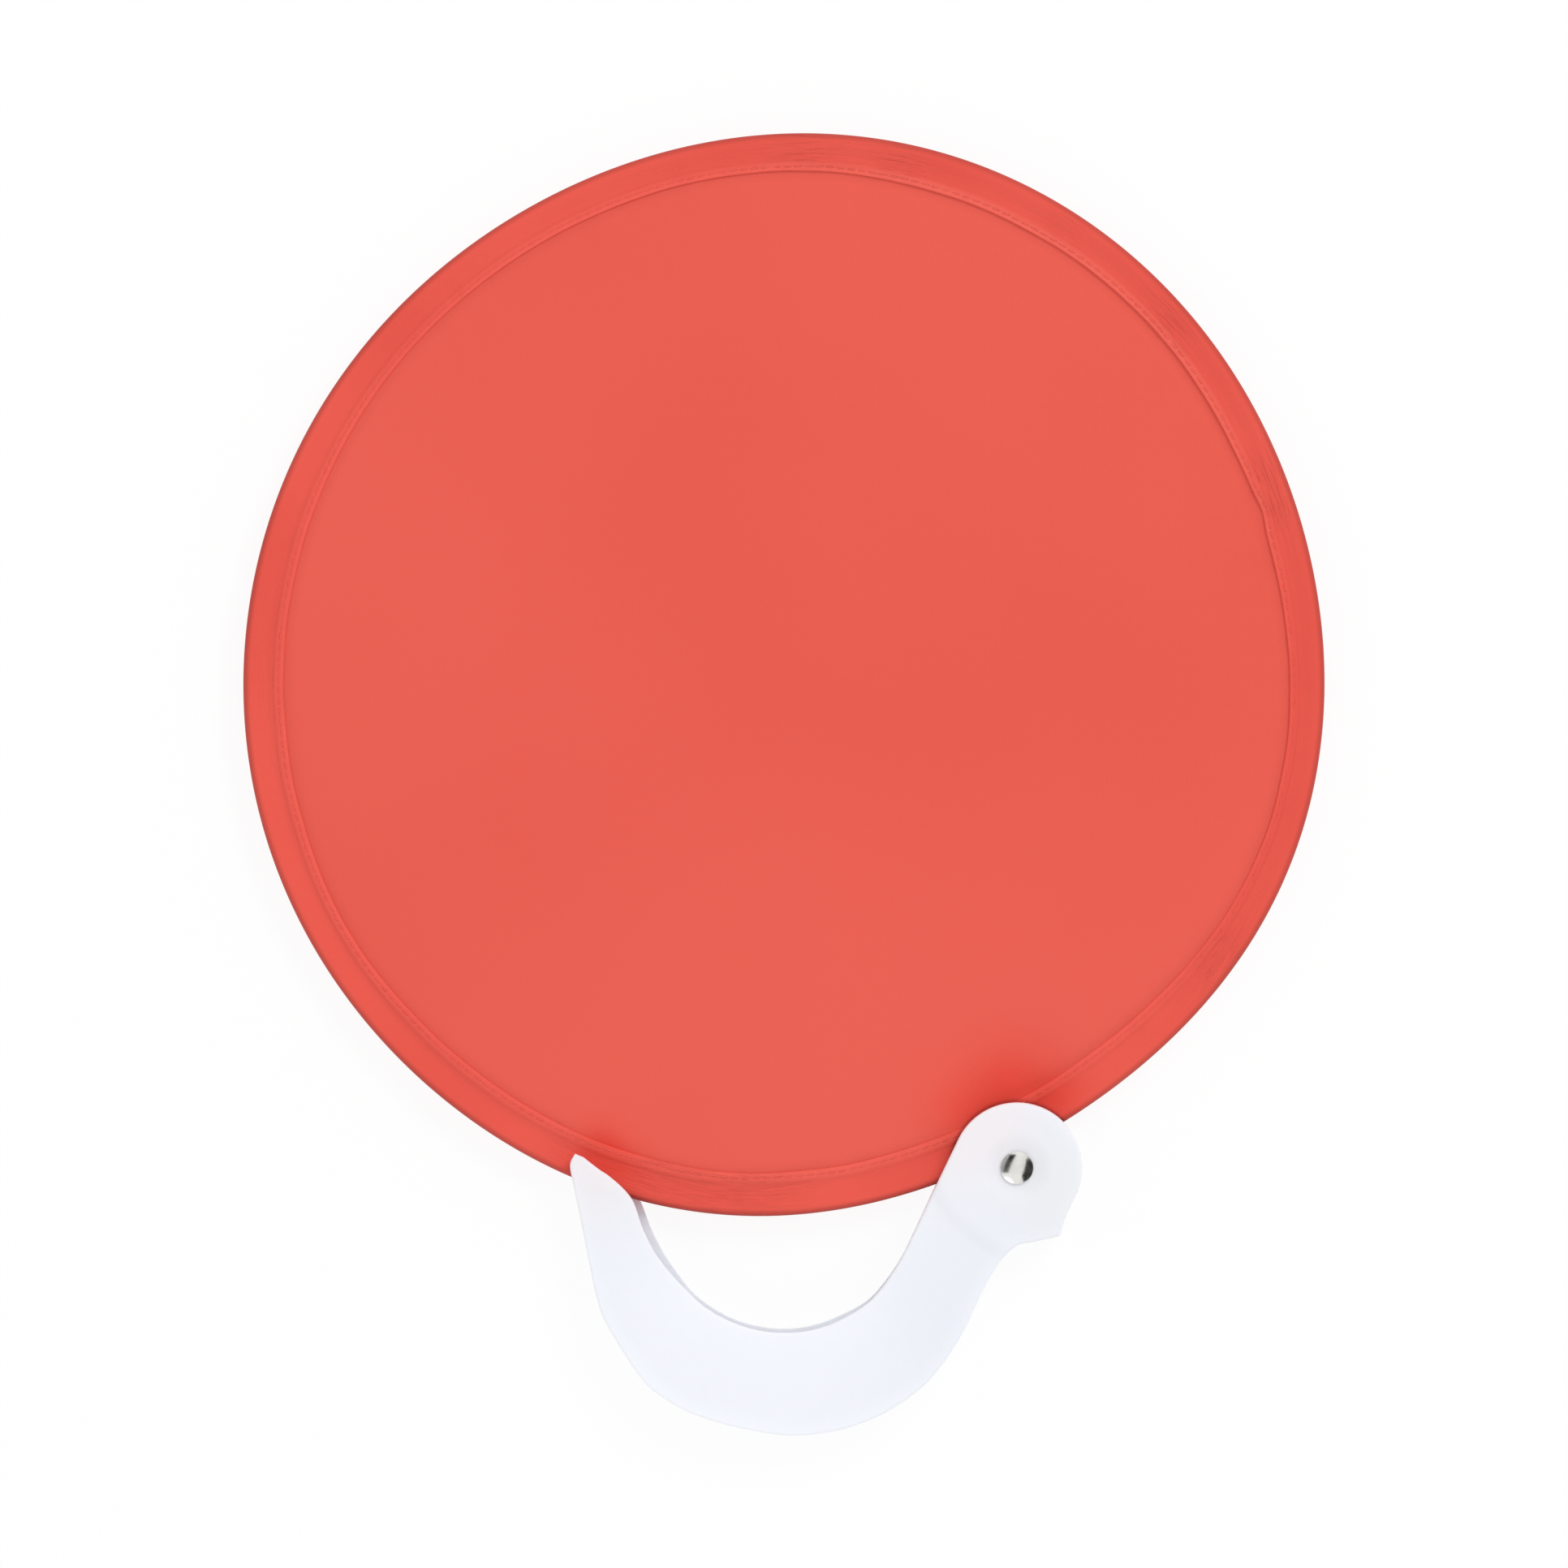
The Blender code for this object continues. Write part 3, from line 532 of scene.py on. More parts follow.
def crumple_lines():
    """Fine creases between 0 and 1 that run along X, of this length and pitch."""
    sockets = {"Vector": "Vector", "Length": "Float", "Pitch": "Float"}
    tree, given = node_group("Crumple lines", "ShaderNodeTree", sockets, {"Height": "Float"})
    stretched = in_lengths(tree, given["Vector"], given["Length"], given["Pitch"])
    creases = noise(tree, add(tree, "ShaderNodeCombineXYZ", stretched), scale=1.0)
    return finish_group(tree, blend_range(tree, creases, start=0.35, end=0.65))


WEAVE = plain_weave()
MOTTLING = mottling()
SEAM_PAINTED_SHADE = seam_painted_shade()
CRUMPLE_LINES = crumple_lines()


# Materials


def mix_colours(tree, factor, first, second):
    """The first colour where the factor is 0, the second where it is 1. Each is three shares or a socket."""
    ends = [end if isinstance(end, bpy.types.NodeSocket) else (*end, 1.0) for end in (first, second)]
    return add(tree, "ShaderNodeMix", {0: factor, 6: ends[0], 7: ends[1]}, data_type="RGBA").outputs[2]


def new_material(name, **sockets):
    """A new material, its tree and its Principled node, whose sockets are given with _ for a space."""
    made = bpy.data.materials.new(name)
    made.use_nodes = True
    surface = made.node_tree.nodes["Principled BSDF"]
    for socket, value in sockets.items():
        surface.inputs[socket.replace("_", " ")].default_value = value
    return made, made.node_tree, surface


def feed(surface, colour, roughness):
    """Feeds the two sockets that vary over every surface."""
    surface.id_data.links.new(colour, surface.inputs["Base Color"])
    surface.id_data.links.new(roughness, surface.inputs["Roughness"])


def object_place(tree):
    return add(tree, "ShaderNodeTexCoord").outputs["Object"]


def bump(tree, surface, height, distance, strength=1.0, under=None):
    """Bumps the surface. An earlier bump's output can be given, which this one then lies on."""
    inputs = {"Strength": strength, "Distance": distance, "Height": height, "Normal": under}
    made = add(tree, "ShaderNodeBump", inputs).outputs[0]
    tree.links.new(made, surface.inputs["Normal"])
    return made


def red_cloth(name, reds, pitch, patch, uv_name=None):
    """Woven nylon in two near reds. The weave lies on the disc's axes, or along the named UV map."""
    made, tree, surface = new_material(
        name, Sheen_Weight=0.05, Sheen_Roughness=0.5, Specular_IOR_Level=0.22
    )
    place = object_place(tree)
    flat = add(tree, "ShaderNodeUVMap", uv_map=uv_name).outputs[0] if uv_name else place
    inset = add(tree, "ShaderNodeAttribute", attribute_name="inset").outputs["Fac"]
    weave = grouped(tree, WEAVE, {"Vector": flat, "Pitch": pitch})
    colour = mix_colours(tree, mottled(tree, place, patch, detail=2.0), *reds)
    # Painted shade beside the lobe and the tip
    painted_shade_mask = calc(tree, "MINIMUM", near_any(tree, place, PAINTED_SHADE_SPOTS), 1.0)
    colour = mix_colours(tree, painted_shade_mask, colour, PAINTED_SHADE_RED)
    # Painted shade and a painted highlight along the seam
    tone = grouped(tree, SEAM_PAINTED_SHADE, {"Vector": place, "Inset": inset})
    # Painted shade between the weave's threads
    tone = product(tree, tone, calc(tree, "MULTIPLY_ADD", weave, *WEAVE_PAINTED_SHADE))
    creased = None
    if uv_name:
        # Painted light on the hem's ridge
        pale = calc(tree, "ADD", near_any(tree, place, HEM_PAINTED_LIGHT_SPOTS), HEM_PAINTED_LIGHT_ANYWHERE, clamp=True)
        pale = product(tree, bell(tree, inset, *HEM_PAINTED_LIGHT_BAND), pale)
        colour = mix_colours(tree, pale, colour, HEM_PAINTED_LIGHT_RED)
        sizes = {"Length": CRUMPLE_LENGTH, "Pitch": CRUMPLE_LINE_PITCH}
        here = calc(tree, "ADD", near_any(tree, place, CRUMPLES), LINED_ANYWHERE, clamp=True)
        lines = product(tree, grouped(tree, CRUMPLE_LINES, {"Vector": flat, **sizes}), here)
        creased = bump(tree, surface, lines, distance=CRUMPLE_LINE_HEIGHT)
        # Painted shade in the tape's fine creases
        tone = product(tree, tone, calc(tree, "MULTIPLY_ADD", lines, *CRUMPLE_LINE_PAINTED_SHADE))
    feed(surface, scaled(tree, colour, tone), calc(tree, "MULTIPLY_ADD", weave, *WEAVE_ROUGHNESS))
    bump(tree, surface, weave, distance=pitch * WEAVE_DEPTH_SHARE, strength=0.35, under=creased)
    return made


def red_thread():
    """Twisted polyester, with the twist as fine slanting bands."""
    made, tree, surface = new_material("red_thread", Sheen_Weight=0.1, Sheen_Roughness=0.4)
    inputs = {"Vector": object_place(tree), "Scale": 900.0, "Distortion": 1.5, "Detail": 1.0}
    bands = add(tree, "ShaderNodeTexWave", inputs, bands_direction="DIAGONAL").outputs["Fac"]
    # The twist's grooves take the darker red, a painted shade
    feed(surface, mix_colours(tree, bands, *THREAD_REDS), blend_range(tree, bands, low=0.5, high=0.4))
    bump(tree, surface, bands, distance=0.00003, strength=0.6)
    return made


def frosted_plastic():
    """Milky polypropylene: cool in the arm, with a painted pink of the red cloth's bounce light beside the
    cloth, painted light and shade in a few spots, and a fine grain.
    """
    made, tree, surface = new_material(
        "frosted_polypropylene", Subsurface_Weight=0.35, Subsurface_Radius=(1.0, 0.98, 0.96),
        Subsurface_Scale=0.0025, IOR=1.49,
    )
    place = object_place(tree)
    flow = product(tree, mottled(tree, place, size=0.035, detail=1.0), FLOW_SHARE)
    # The flow's mottling, with a spot of painted light on top
    bright = calc(tree, "ADD", flow, near_any(tree, place, HANDLE_PAINTED_LIGHT_SPOTS), clamp=True)
    colour = mix_colours(tree, bright, *MILKY_WHITES)
    # Painted shade on the lobe's right side
    colour = mix_colours(tree, near_any(tree, place, HANDLE_PAINTED_SHADE_SPOTS), colour, MILKY_PAINTED_SHADE)
    # Painted reflection of the red cloth on the lobe and the tip
    colour = mix_colours(tree, near_any(tree, place, HANDLE_PAINTED_BOUNCE_SPOTS), colour, MILKY_PAINTED_BOUNCE)
    handled = mottled(tree, place, size=0.012, detail=3.0)
    feed(surface, colour, blend_range(tree, handled, low=0.36, high=0.46))
    bump(tree, surface, noise(tree, place, scale=4000.0, detail=3.0), distance=0.00004, strength=0.35)
    return made


def moulded_plastic():
    made, tree, surface = new_material("white_polypropylene", IOR=1.49)
    place = object_place(tree)
    flow = mottled(tree, place, size=0.004, detail=2.0)
    feed(surface, mix_colours(tree, flow, *SPACER_WHITES), blend_range(tree, flow, low=0.38, high=0.46))
    bump(tree, surface, noise(tree, place, scale=3000.0), distance=0.00003, strength=0.3)
    return made


def polished_metal(name, greys, roughness, scratch_scale):
    """Metal with cloudy handling marks in its polish, and fine scratches."""
    made, tree, surface = new_material(name, Metallic=1.0)
    place = object_place(tree)
    clouds = mottled(tree, place, size=0.003, detail=3.0)
    feed(surface, mix_colours(tree, clouds, *greys), blend_range(tree, clouds, 0.0, 1.0, *roughness))
    inputs = {"Vector": place, "Rotation": (0.0, 0.0, 0.6), "Scale": (1.0, 9.0, 1.0)}
    scratches = noise(tree, add(tree, "ShaderNodeMapping", inputs), scratch_scale, detail=4.0)
    bump(tree, surface, scratches, distance=0.000012, strength=0.3)
    return made


# Cloth, tape and stitches


def wrinkle_field():
    """How far the cloth, its hem and its seam lie off the plain disc, by their inset from the rim's edge."""
    tree, given = node_group("Wrinkle field", "GeometryNodeTree", {"Inset": "Float"}, {"Offset": "Vector"})
    inset = given["Inset"]
    place = add(tree, "GeometryNodeInputPosition").outputs[0]
    direction = vector_calc(tree, "NORMALIZE", vector_calc(tree, "SUBTRACT", place, CENTRE))

    # Broad, shallow unevenness over the whole sheet
    uneven = product(tree, swings(tree, place, UNEVENNESS_SCALE), UNEVENNESS)
    # Short puckers across the seam, which die out inwards
    fade = blend_range(tree, inset, *PUCKERS_GROW)
    puckers = product(tree, swings(tree, direction, PUCKER_SCALE, detail=1.5), fade, fade, PUCKER_HEIGHT)
    # The crease that the seam pulls into the cloth beside the tape
    depth = calc(tree, "ADD", near_any(tree, place, DEEP_CREASES), LEAST_CREASE)
    crease = product(tree, bell(tree, inset, CREASE_INSET, CREASE_WIDTH), depth, -CREASE_DEPTH)
    # Folds that run out from under the lobe, where the spring ring's ends pull the cloth
    axes = add(tree, "ShaderNodeSeparateXYZ", [vector_calc(tree, "SUBTRACT", place, PIVOT)]).outputs
    bearing = calc(tree, "ARCTAN2", axes["Y"], axes["X"])
    folds = calc(tree, "COSINE", calc(tree, "MULTIPLY_ADD", bearing, LOBE_FOLDS, LOBE_FOLD_BEARING))
    reach = bell(tree, away_from(tree, place, PIVOT), 0.0, LOBE_FOLD_REACH, LOBE_FOLD_HEIGHT)
    rise = summed(tree, uneven, puckers, crease, product(tree, folds, reach), near_any(tree, place, HOLLOWS))
    # The spring ring holds the tape's nose flat
    rise = product(tree, rise, blend_range(tree, inset, *WRINKLES_GROW))

    # The hem wanders in and out
    wander = product(tree, swings(tree, direction, WANDER_SCALE, detail=1.0), 2 * HEM_WANDER)
    way = (*polar(HEM_SHIFT, HEM_SHIFT_BEARING), 0.0)
    shift = vector_calc(tree, "DOT_PRODUCT", direction, way, output="Value")
    wander = product(
        tree, summed(tree, wander, shift, near_any(tree, place, HEM_DRIFTS)),
        blend_range(tree, inset, *WANDER_GROWS), blend_range(tree, inset, *WANDER_GROWS_OUTWARDS),
    )
    upwards = add(tree, "ShaderNodeCombineXYZ", {"Z": rise}).outputs[0]
    return finish_group(tree, vector_calc(tree, "ADD", scaled(tree, direction, wander), upwards))


def moved(tree, geometry, offset):
    return add(tree, "GeometryNodeSetPosition", {"Geometry": geometry, "Offset": offset})


def lifted(tree, geometry, inset):
    """The geometry moved by the wrinkle field, with its points at this inset."""
    return moved(tree, geometry, add(tree, "GeometryNodeGroup", [inset], node_tree=WRINKLES))


def finish_geometry(tree, geometry, surface):
    """Ends a tree: its geometry is made real and given its material."""
    whole = add(tree, "GeometryNodeRealizeInstances", [geometry])
    dressed = add(tree, "GeometryNodeSetMaterial", {"Geometry": whole, "Material": surface})
    return finish_group(tree, dressed)


def keep_shape(piece):
    """Replaces the object's mesh by what its modifiers make of it."""
    bpy.context.view_layer.update()
    shaped = piece.evaluated_get(bpy.context.evaluated_depsgraph_get())
    mesh = bpy.data.meshes.new_from_object(shaped)
    piece.modifiers.clear()
    piece.data = mesh


def run_tree(piece, tree, **inputs):
    """Runs a geometry node tree on an object. Its inputs are given by name, with _ for a space."""
    modifier = piece.modifiers.new(tree.name, "NODES")
    modifier.node_group = tree
    for item in tree.interface.items_tree:
        name = item.name.replace(" ", "_")
        if item.in_out == "INPUT" and name in inputs:
            modifier[item.identifier] = inputs[name]
    keep_shape(piece)


def thicken(piece, thickness):
    """Turns a sheet into a closed shell, with half of its thickness on each side."""
    solidify = piece.modifiers.new("Thickness", "SOLIDIFY")
    solidify.thickness = thickness
    solidify.offset = 0.0
    keep_shape(piece)
    piece.data.shade_smooth()


def new_object(name, data):
    made = bpy.data.objects.new(name, data)
    bpy.context.scene.collection.objects.link(made)
    return made


def shape_object(name, shape):
    """A new object with a finished bmesh as its mesh."""
    mesh = bpy.data.meshes.new(name)
    shape.to_mesh(mesh)
    shape.free()
    return new_object(name, mesh)


def line_object(name, points, edges):
    mesh = bpy.data.meshes.new(name)
    mesh.from_pydata(points, edges, [])
    return new_object(name, mesh)


def rim_line(name, steps, inset=0.0):
    """A closed line of edges round the rim, starting beside the rivet."""
    bearings = [RIVET_ANGLE + 360.0 * step / steps for step in range(steps)]
    points = [CENTRE + polar(rim_radius(bearing) - inset, bearing).to_3d() for bearing in bearings]
    return line_object(name, points, [(step, (step + 1) % steps) for step in range(steps)])


def cloth_tree():
    """Lifts a flat sheet by the wrinkle field. The sheet's points carry their inset."""
    sockets = {"Geometry": "Geometry", "Material": "Material"}
    tree, given = node_group("Stretched cloth", "GeometryNodeTree", sockets, {"Geometry": "Geometry"})
    inset = add(tree, "GeometryNodeInputNamedAttribute", ["inset"], data_type="FLOAT")
    return finish_geometry(tree, lifted(tree, given["Geometry"], inset), given["Material"])


def fan_cloth(surface):
    """The round sheet: rings of points that keep the rim's outline, closer together towards the seam."""
    sheet = bmesh.new()
    inset_layer = sheet.verts.layers.float.new("inset")
    middle = sheet.verts.new(CENTRE)
    middle[inset_layer] = DISC_RADIUS
    rings = []
    for ring in range(1, CLOTH_RINGS + 1):
        share = 1 - (1 - ring / CLOTH_RINGS) ** RING_CROWDING
        points = []
        for step in range(CLOTH_STEPS):
            bearing = 360.0 * step / CLOTH_STEPS
            across = polar((rim_radius(bearing) - CLOTH_INSET) * share, bearing)
            point = sheet.verts.new(CENTRE + across.to_3d())
            point[inset_layer] = rim_radius(bearing) - across.length
            points.append(point)
        rings.append(points)
    for step in range(CLOTH_STEPS):
        after = (step + 1) % CLOTH_STEPS
        sheet.faces.new((middle, rings[0][step], rings[0][after]))
        for inner, outer in zip(rings, rings[1:]):
            sheet.faces.new((inner[step], outer[step], outer[after], inner[after]))
    made = shape_object("fan_cloth", sheet)
    run_tree(made, cloth_tree(), Material=surface)
    thicken(made, CLOTH_THICKNESS)
    return made


def tape_section():
    """One side of the section, as insets and heights of the tape's middle, from its nose to its cut edge."""
    half = TAPE_THICKNESS / 2
    nose, flat, hem = NOSE_HALF - half, FLAT_HEIGHT - half, HEM_HEIGHT - half
    under = hem - TAPE_THICKNESS - HEM_GAP
    fold = (hem - under) / 2
    hem_start = TAPE_WIDTH - HEM_WIDTH
    seam_inset = TAPE_WIDTH - STITCH_INSET
    points = [(half + NOSE_LENGTH * (1 - math.cos(a)), nose * math.sin(a)) for a in angles(90.0, NOSE_STEPS)]
    for step in range(1, SIDE_STEPS):
        share = step / SIDE_STEPS
        drawn = (1 - math.cos(math.pi * share)) / 2
        points.append((NOSE_LENGTH + (DRAWN_IN - NOSE_LENGTH) * share, nose + (flat - nose) * drawn))
    for step in range(FLAT_STEPS):
        points.append((DRAWN_IN + (hem_start - half - DRAWN_IN) * step / FLAT_STEPS, flat))
    points += [
        (hem_start - half, flat),
        (hem_start + half, hem - half / 4),
        (hem_start + HEM_SHOULDER, hem),
        (seam_inset - STITCH_THICKNESS, hem),
        (seam_inset, hem - STITCH_DENT),
        (seam_inset + STITCH_THICKNESS, hem),
        (TAPE_WIDTH - half - fold * HEM_END_SHARE, hem),
    ]
    for angle in angles(180.0, HEM_FOLD_STEPS):
        inset = TAPE_WIDTH - half - fold + fold * math.sin(angle)
        points.append((inset, (hem + under) / 2 + fold * math.cos(angle)))
    return points + [(seam_inset, under - STITCH_DENT_INSIDE), (hem_start + half, under)]


def section_line():
    """The whole section as a line, from the front's cut edge to the back's, its X towards the rim's edge."""
    side = tape_section()
    points = [(-inset, height, 0.0) for inset, height in side[::-1]]
    points += [(-inset, -height, 0.0) for inset, height in side[1:]]
    return line_object("tape_section", points, [(step, step + 1) for step in range(len(points) - 1)])


def captured(tree, geometry, **values):
    """Marks the geometry's points with values. Returns the marked geometry and each value's output."""
    made = tree.nodes.new("GeometryNodeCaptureAttribute")
    for name in values:
        made.capture_items.new("FLOAT", name)
    for socket, value in zip(made.inputs, (geometry.outputs[0], *values.values())):
        tree.links.new(value, socket)
    return [made.outputs[number] for number in range(len(values) + 1)]


def tape_tree():
    """Sweeps a section round a line, crumples it, lifts it by the wrinkle field and opens it at the rivet."""
    sockets = {
        "Geometry": "Geometry", "Section": "Object", "Crumple": "Float", "Seed": "Float",
        "Notch length": "Float", "Notch depth": "Float", "Material": "Material",
    }
    tree, given = node_group("Binding tape", "GeometryNodeTree", sockets, {"Geometry": "Geometry"})
    place = add(tree, "GeometryNodeInputPosition")
    spline = add(tree, "GeometryNodeSplineParameter").outputs
    rim = add(tree, "GeometryNodeMeshToCurve", [given["Geometry"]])
    rim, along, along_share = captured(tree, rim, Along=spline["Length"], Share=spline["Factor"])
    section = add(tree, "GeometryNodeObjectInfo", [given["Section"]]).outputs["Geometry"]
    section = add(tree, "GeometryNodeMeshToCurve", [section])
    inset = product(tree, add(tree, "ShaderNodeSeparateXYZ", [place]).outputs["X"], -1.0)
    section, across, inset = captured(tree, section, Across=spline["Length"], Inset=inset)
    tape = add(tree, "GeometryNodeCurveToMesh", {"Curve": rim, "Profile Curve": section})
    strip = add(tree, "ShaderNodeCombineXYZ", [along, across])
    for name, value, kind, domain in (
        ("strip", strip, "FLOAT2", "CORNER"),
        ("inset", inset, "FLOAT", "POINT"),
    ):
        inputs = {"Geometry": tape, "Name": name, "Value": value}
        tape = add(tree, "GeometryNodeStoreNamedAttribute", inputs, data_type=kind, domain=domain)

    # Crumples that run along the tape between its nose and its hem, most of them in a few places
    stretched = add(tree, "ShaderNodeCombineXYZ", [
        calc(tree, "DIVIDE", along, CRUMPLE_LENGTH),
        calc(tree, "DIVIDE", across, CRUMPLE_PITCH),
        given["Seed"],
    ])
    here = calc(tree, "ADD", near_any(tree, place, CRUMPLES), CRUMPLED_ANYWHERE, clamp=True)
    size = product(
        tree, swings(tree, stretched, scale=1.0), here, blend_range(tree, inset, *CRUMPLES_GROW),
        blend_range(tree, inset, *CRUMPLES_GROW_OUTWARDS), given["Crumple"],
    )
    tape = moved(tree, tape, scaled(tree, add(tree, "GeometryNodeInputNormal").outputs[0], size))
    tape = lifted(tree, tape, inset)

    # The notch for the spring ring's ends, to both sides of the rivet
    in_reach = calc(tree, "LESS_THAN", calc(tree, "PINGPONG", along_share, 0.5), given["Notch length"])
    notch = product(tree, in_reach, calc(tree, "LESS_THAN", inset, given["Notch depth"]))
    tape = add(tree, "GeometryNodeDeleteGeometry", {"Geometry": tape, "Selection": notch}, domain="FACE")
    return finish_geometry(tree, tape, given["Material"])


def rim_tape(surface):
    made = rim_line("rim_tape", RIM_STEPS)
    section = section_line()
    run_tree(made, tape_tree(), Section=section, Crumple=CRUMPLE_HEIGHT, Seed=CRUMPLE_SEED,
             Notch_length=NOTCH_REACH / 360.0, Notch_depth=NOTCH_DEPTH, Material=surface)
    bpy.data.objects.remove(section)
    thicken(made, TAPE_THICKNESS)
    return made


def stitch_tree():
    """Lays stitches end to end along a line, lifted by the wrinkle field."""
    sockets = {
        "Geometry": "Geometry", "Pitch": "Float", "Length": "Float", "Thickness": "Float", "Inset": "Float",
        "Height": "Float", "Seed": "Int", "Material": "Material",
    }
    tree, given = node_group("Seam stitches", "GeometryNodeTree", sockets, {"Geometry": "Geometry"})
    line = lifted(tree, add(tree, "GeometryNodeMeshToCurve", [given["Geometry"]]), given["Inset"])
    line = moved(tree, line, add(tree, "ShaderNodeCombineXYZ", {"Z": given["Height"]}))
    points = add(tree, "GeometryNodeResampleCurve", {"Curve": line, "Length": given["Pitch"]}, mode="LENGTH")
    ball = add(tree, "GeometryNodeMeshUVSphere", {"Segments": 8, "Rings": 6, "Radius": 0.5})
    size = add(tree, "ShaderNodeCombineXYZ", [given["Length"], given["Thickness"], given["Thickness"]])
    stitch = add(tree, "GeometryNodeTransform", {"Geometry": ball, "Scale": size})
    stitch = add(tree, "GeometryNodeSetShadeSmooth", [stitch])
    tangent = add(tree, "GeometryNodeInputTangent")
    heading = add(tree, "FunctionNodeAlignRotationToVector", {"Vector": tangent}, axis="X")
    inputs = {"Points": points, "Instance": stitch, "Rotation": heading}
    row = add(tree, "GeometryNodeInstanceOnPoints", inputs)
    least, most = STITCH_TILTS
    tilts = {"Min": least, "Max": most, "Seed": given["Seed"]}
    tilt = add(tree, "FunctionNodeRandomValue", tilts, data_type="FLOAT_VECTOR")
    row = add(tree, "GeometryNodeRotateInstances", {"Instances": row, "Rotation": tilt})
    return finish_geometry(tree, row, given["Material"])


def stitches(name, tree, surface, side, seed):
    """One row of stitches, half sunk in the hem, on the front (side 1) or the back (side -1)."""
    inset = TAPE_WIDTH - STITCH_INSET
    made = rim_line(name, RIM_STEPS, inset)
    run_tree(made, tree, Pitch=STITCH_PITCH, Length=STITCH_LENGTH, Thickness=STITCH_THICKNESS, Inset=inset,
             Height=side * (HEM_HEIGHT + STITCH_STAND), Seed=seed, Material=surface)
    return made


# Handle


def on_handle(point):
    """Where a point of the handle's frame lies, in plan."""
    return TURN @ Vector(point) + PIVOT.xy


def smooth(points, steps):
    """A curve through the points, as the points themselves and steps - 1 more between each pair."""
    ends = [2 * points[0] - points[1], *points, 2 * points[-1] - points[-2]]
    curve = []
    for before, start, end, after in zip(ends, ends[1:], ends[2:], ends[3:]):
        for step in range(steps):
            t = step / steps
            curve.append(
                start
                + (end - before) * t / 2
                + (2 * before - 5 * start + 4 * end - after) * t * t / 2
                + (3 * start - before - 3 * end + after) * t**3 / 2
            )
    return [*curve, points[-1]]


def beside(points, distance, closed=False):
    """The line moved sideways, to the left of the way it runs."""
    count = len(points)
    shifted = []
    for index, point in enumerate(points):
        if closed:
            ahead = points[(index + 1) % count] - points[index - 1]
        else:
            ahead = points[min(index + 1, count - 1)] - points[max(index - 1, 0)]
        shifted.append(point + Vector((-ahead.y, ahead.x)).normalized() * distance)
    return shifted


def in_crescent(shares):
    return [Vector((along * HANDLE_SPAN, across * HANDLE_DROP)) for along, across in shares]


def in_lobe(shares):
    return [Vector(share) * LOBE_RADIUS for share in shares]


def outer_edge():
    return smooth(in_lobe(HEEL_FOOT_SHARES) + in_crescent(OUTER_EDGE_SHARES), EDGE_STEPS)


def inner_edge(edge_shares):
    points = in_crescent(edge_shares + ARM_EDGE_SHARES) + in_lobe([ARM_ROOT_SHARE])
    return smooth([*points, polar(LOBE_RADIUS, LOBE_START)], EDGE_STEPS)


def lobe_edge():
    turn = LOBE_END - LOBE_START
    arc = [polar(LOBE_RADIUS, LOBE_START + turn * step / LOBE_STEPS) for step in range(1, LOBE_STEPS + 1)]
    return arc + in_lobe(HEEL_SIDE_SHARES)


def slot_outline():
    """The slot's plan: all inside the spine, which ends just outside the rim at the tip."""
    spine = beside(outer_edge(), -SPINE_THICKNESS)
    top = -LOBE_RADIUS - OVERRUN
    heel_end = spine[0] + (spine[0] - spine[1]).normalized() * LOBE_RADIUS
    back = TURN.inverted()
    clear, stop_angle = [], 0.0
    for point in spine:
        place = on_handle(point) - CENTRE.xy
        angle = math.degrees(math.atan2(place.y, place.x))
        if place.length > rim_radius(angle) + STOP_GAP:
            clear.append(point)
            stop_angle = angle
    run = math.degrees((2 * SPINE_THICKNESS + OVERRUN) / DISC_RADIUS)
    stop = []
    for step in range(1, STOP_STEPS + 1):
        angle = stop_angle - run * step / STOP_STEPS
        stop.append(back @ (polar(rim_radius(angle) + STOP_GAP, angle) + CENTRE.xy - PIVOT.xy))
    return [heel_end, *clear, *stop, Vector((stop[-1].x, top)), Vector((heel_end.x, top))]


def stacked_rings(name, rings):
    """A closed shape through rings of as many points each, from the lowest to the highest."""
    shape = bmesh.new()
    corners = [[shape.verts.new(point) for point in ring] for ring in rings]
    for lower, upper in zip(corners, corners[1:]):
        for index in range(len(lower)):
            after = (index + 1) % len(lower)
            shape.faces.new((lower[index], lower[after], upper[after], upper[index]))
    shape.faces.new(corners[0])
    shape.faces.new(corners[-1])
    bmesh.ops.recalc_face_normals(shape, faces=shape.faces)
    return shape_object(name, shape)


def safe_insets(outline, inward, most):
    """How far each point may go inwards: nowhere so far that it passes its neighbour, and changing slowly."""
    insets = [most] * len(outline)
    passed = True
    while passed:
        passed = False
        for index in range(len(outline)):
            gap = outline[index] - outline[index - 1]
            left = gap + inward[index] * insets[index] - inward[index - 1] * insets[index - 1]
            if left.dot(gap) < LEAST_STEP_SHARE * gap.length_squared:
                insets[index] *= INSET_TRIM_SHARE
                insets[index - 1] *= INSET_TRIM_SHARE
                passed = True
    for order in (range(len(outline)), range(len(outline) - 1, -1, -1)):
        for index in [*order, *order]:
            neighbour = (index + (-1 if order.step > 0 else 1)) % len(outline)
            gap = (outline[index] - outline[neighbour]).length
            insets[index] = min(insets[index], insets[neighbour] + gap * ROUND_GROWTH_SHARE)
    return insets


def edge_levels(height, radius, side):
    """The levels of a rounded edge from its face on, each as a share of the inset and a height."""
    if not radius:
        return [(0.0, height)]
    return [(1 - math.sin(a), height + side * radius * (1 - math.cos(a))) for a in angles(90.0, ROUND_STEPS)]


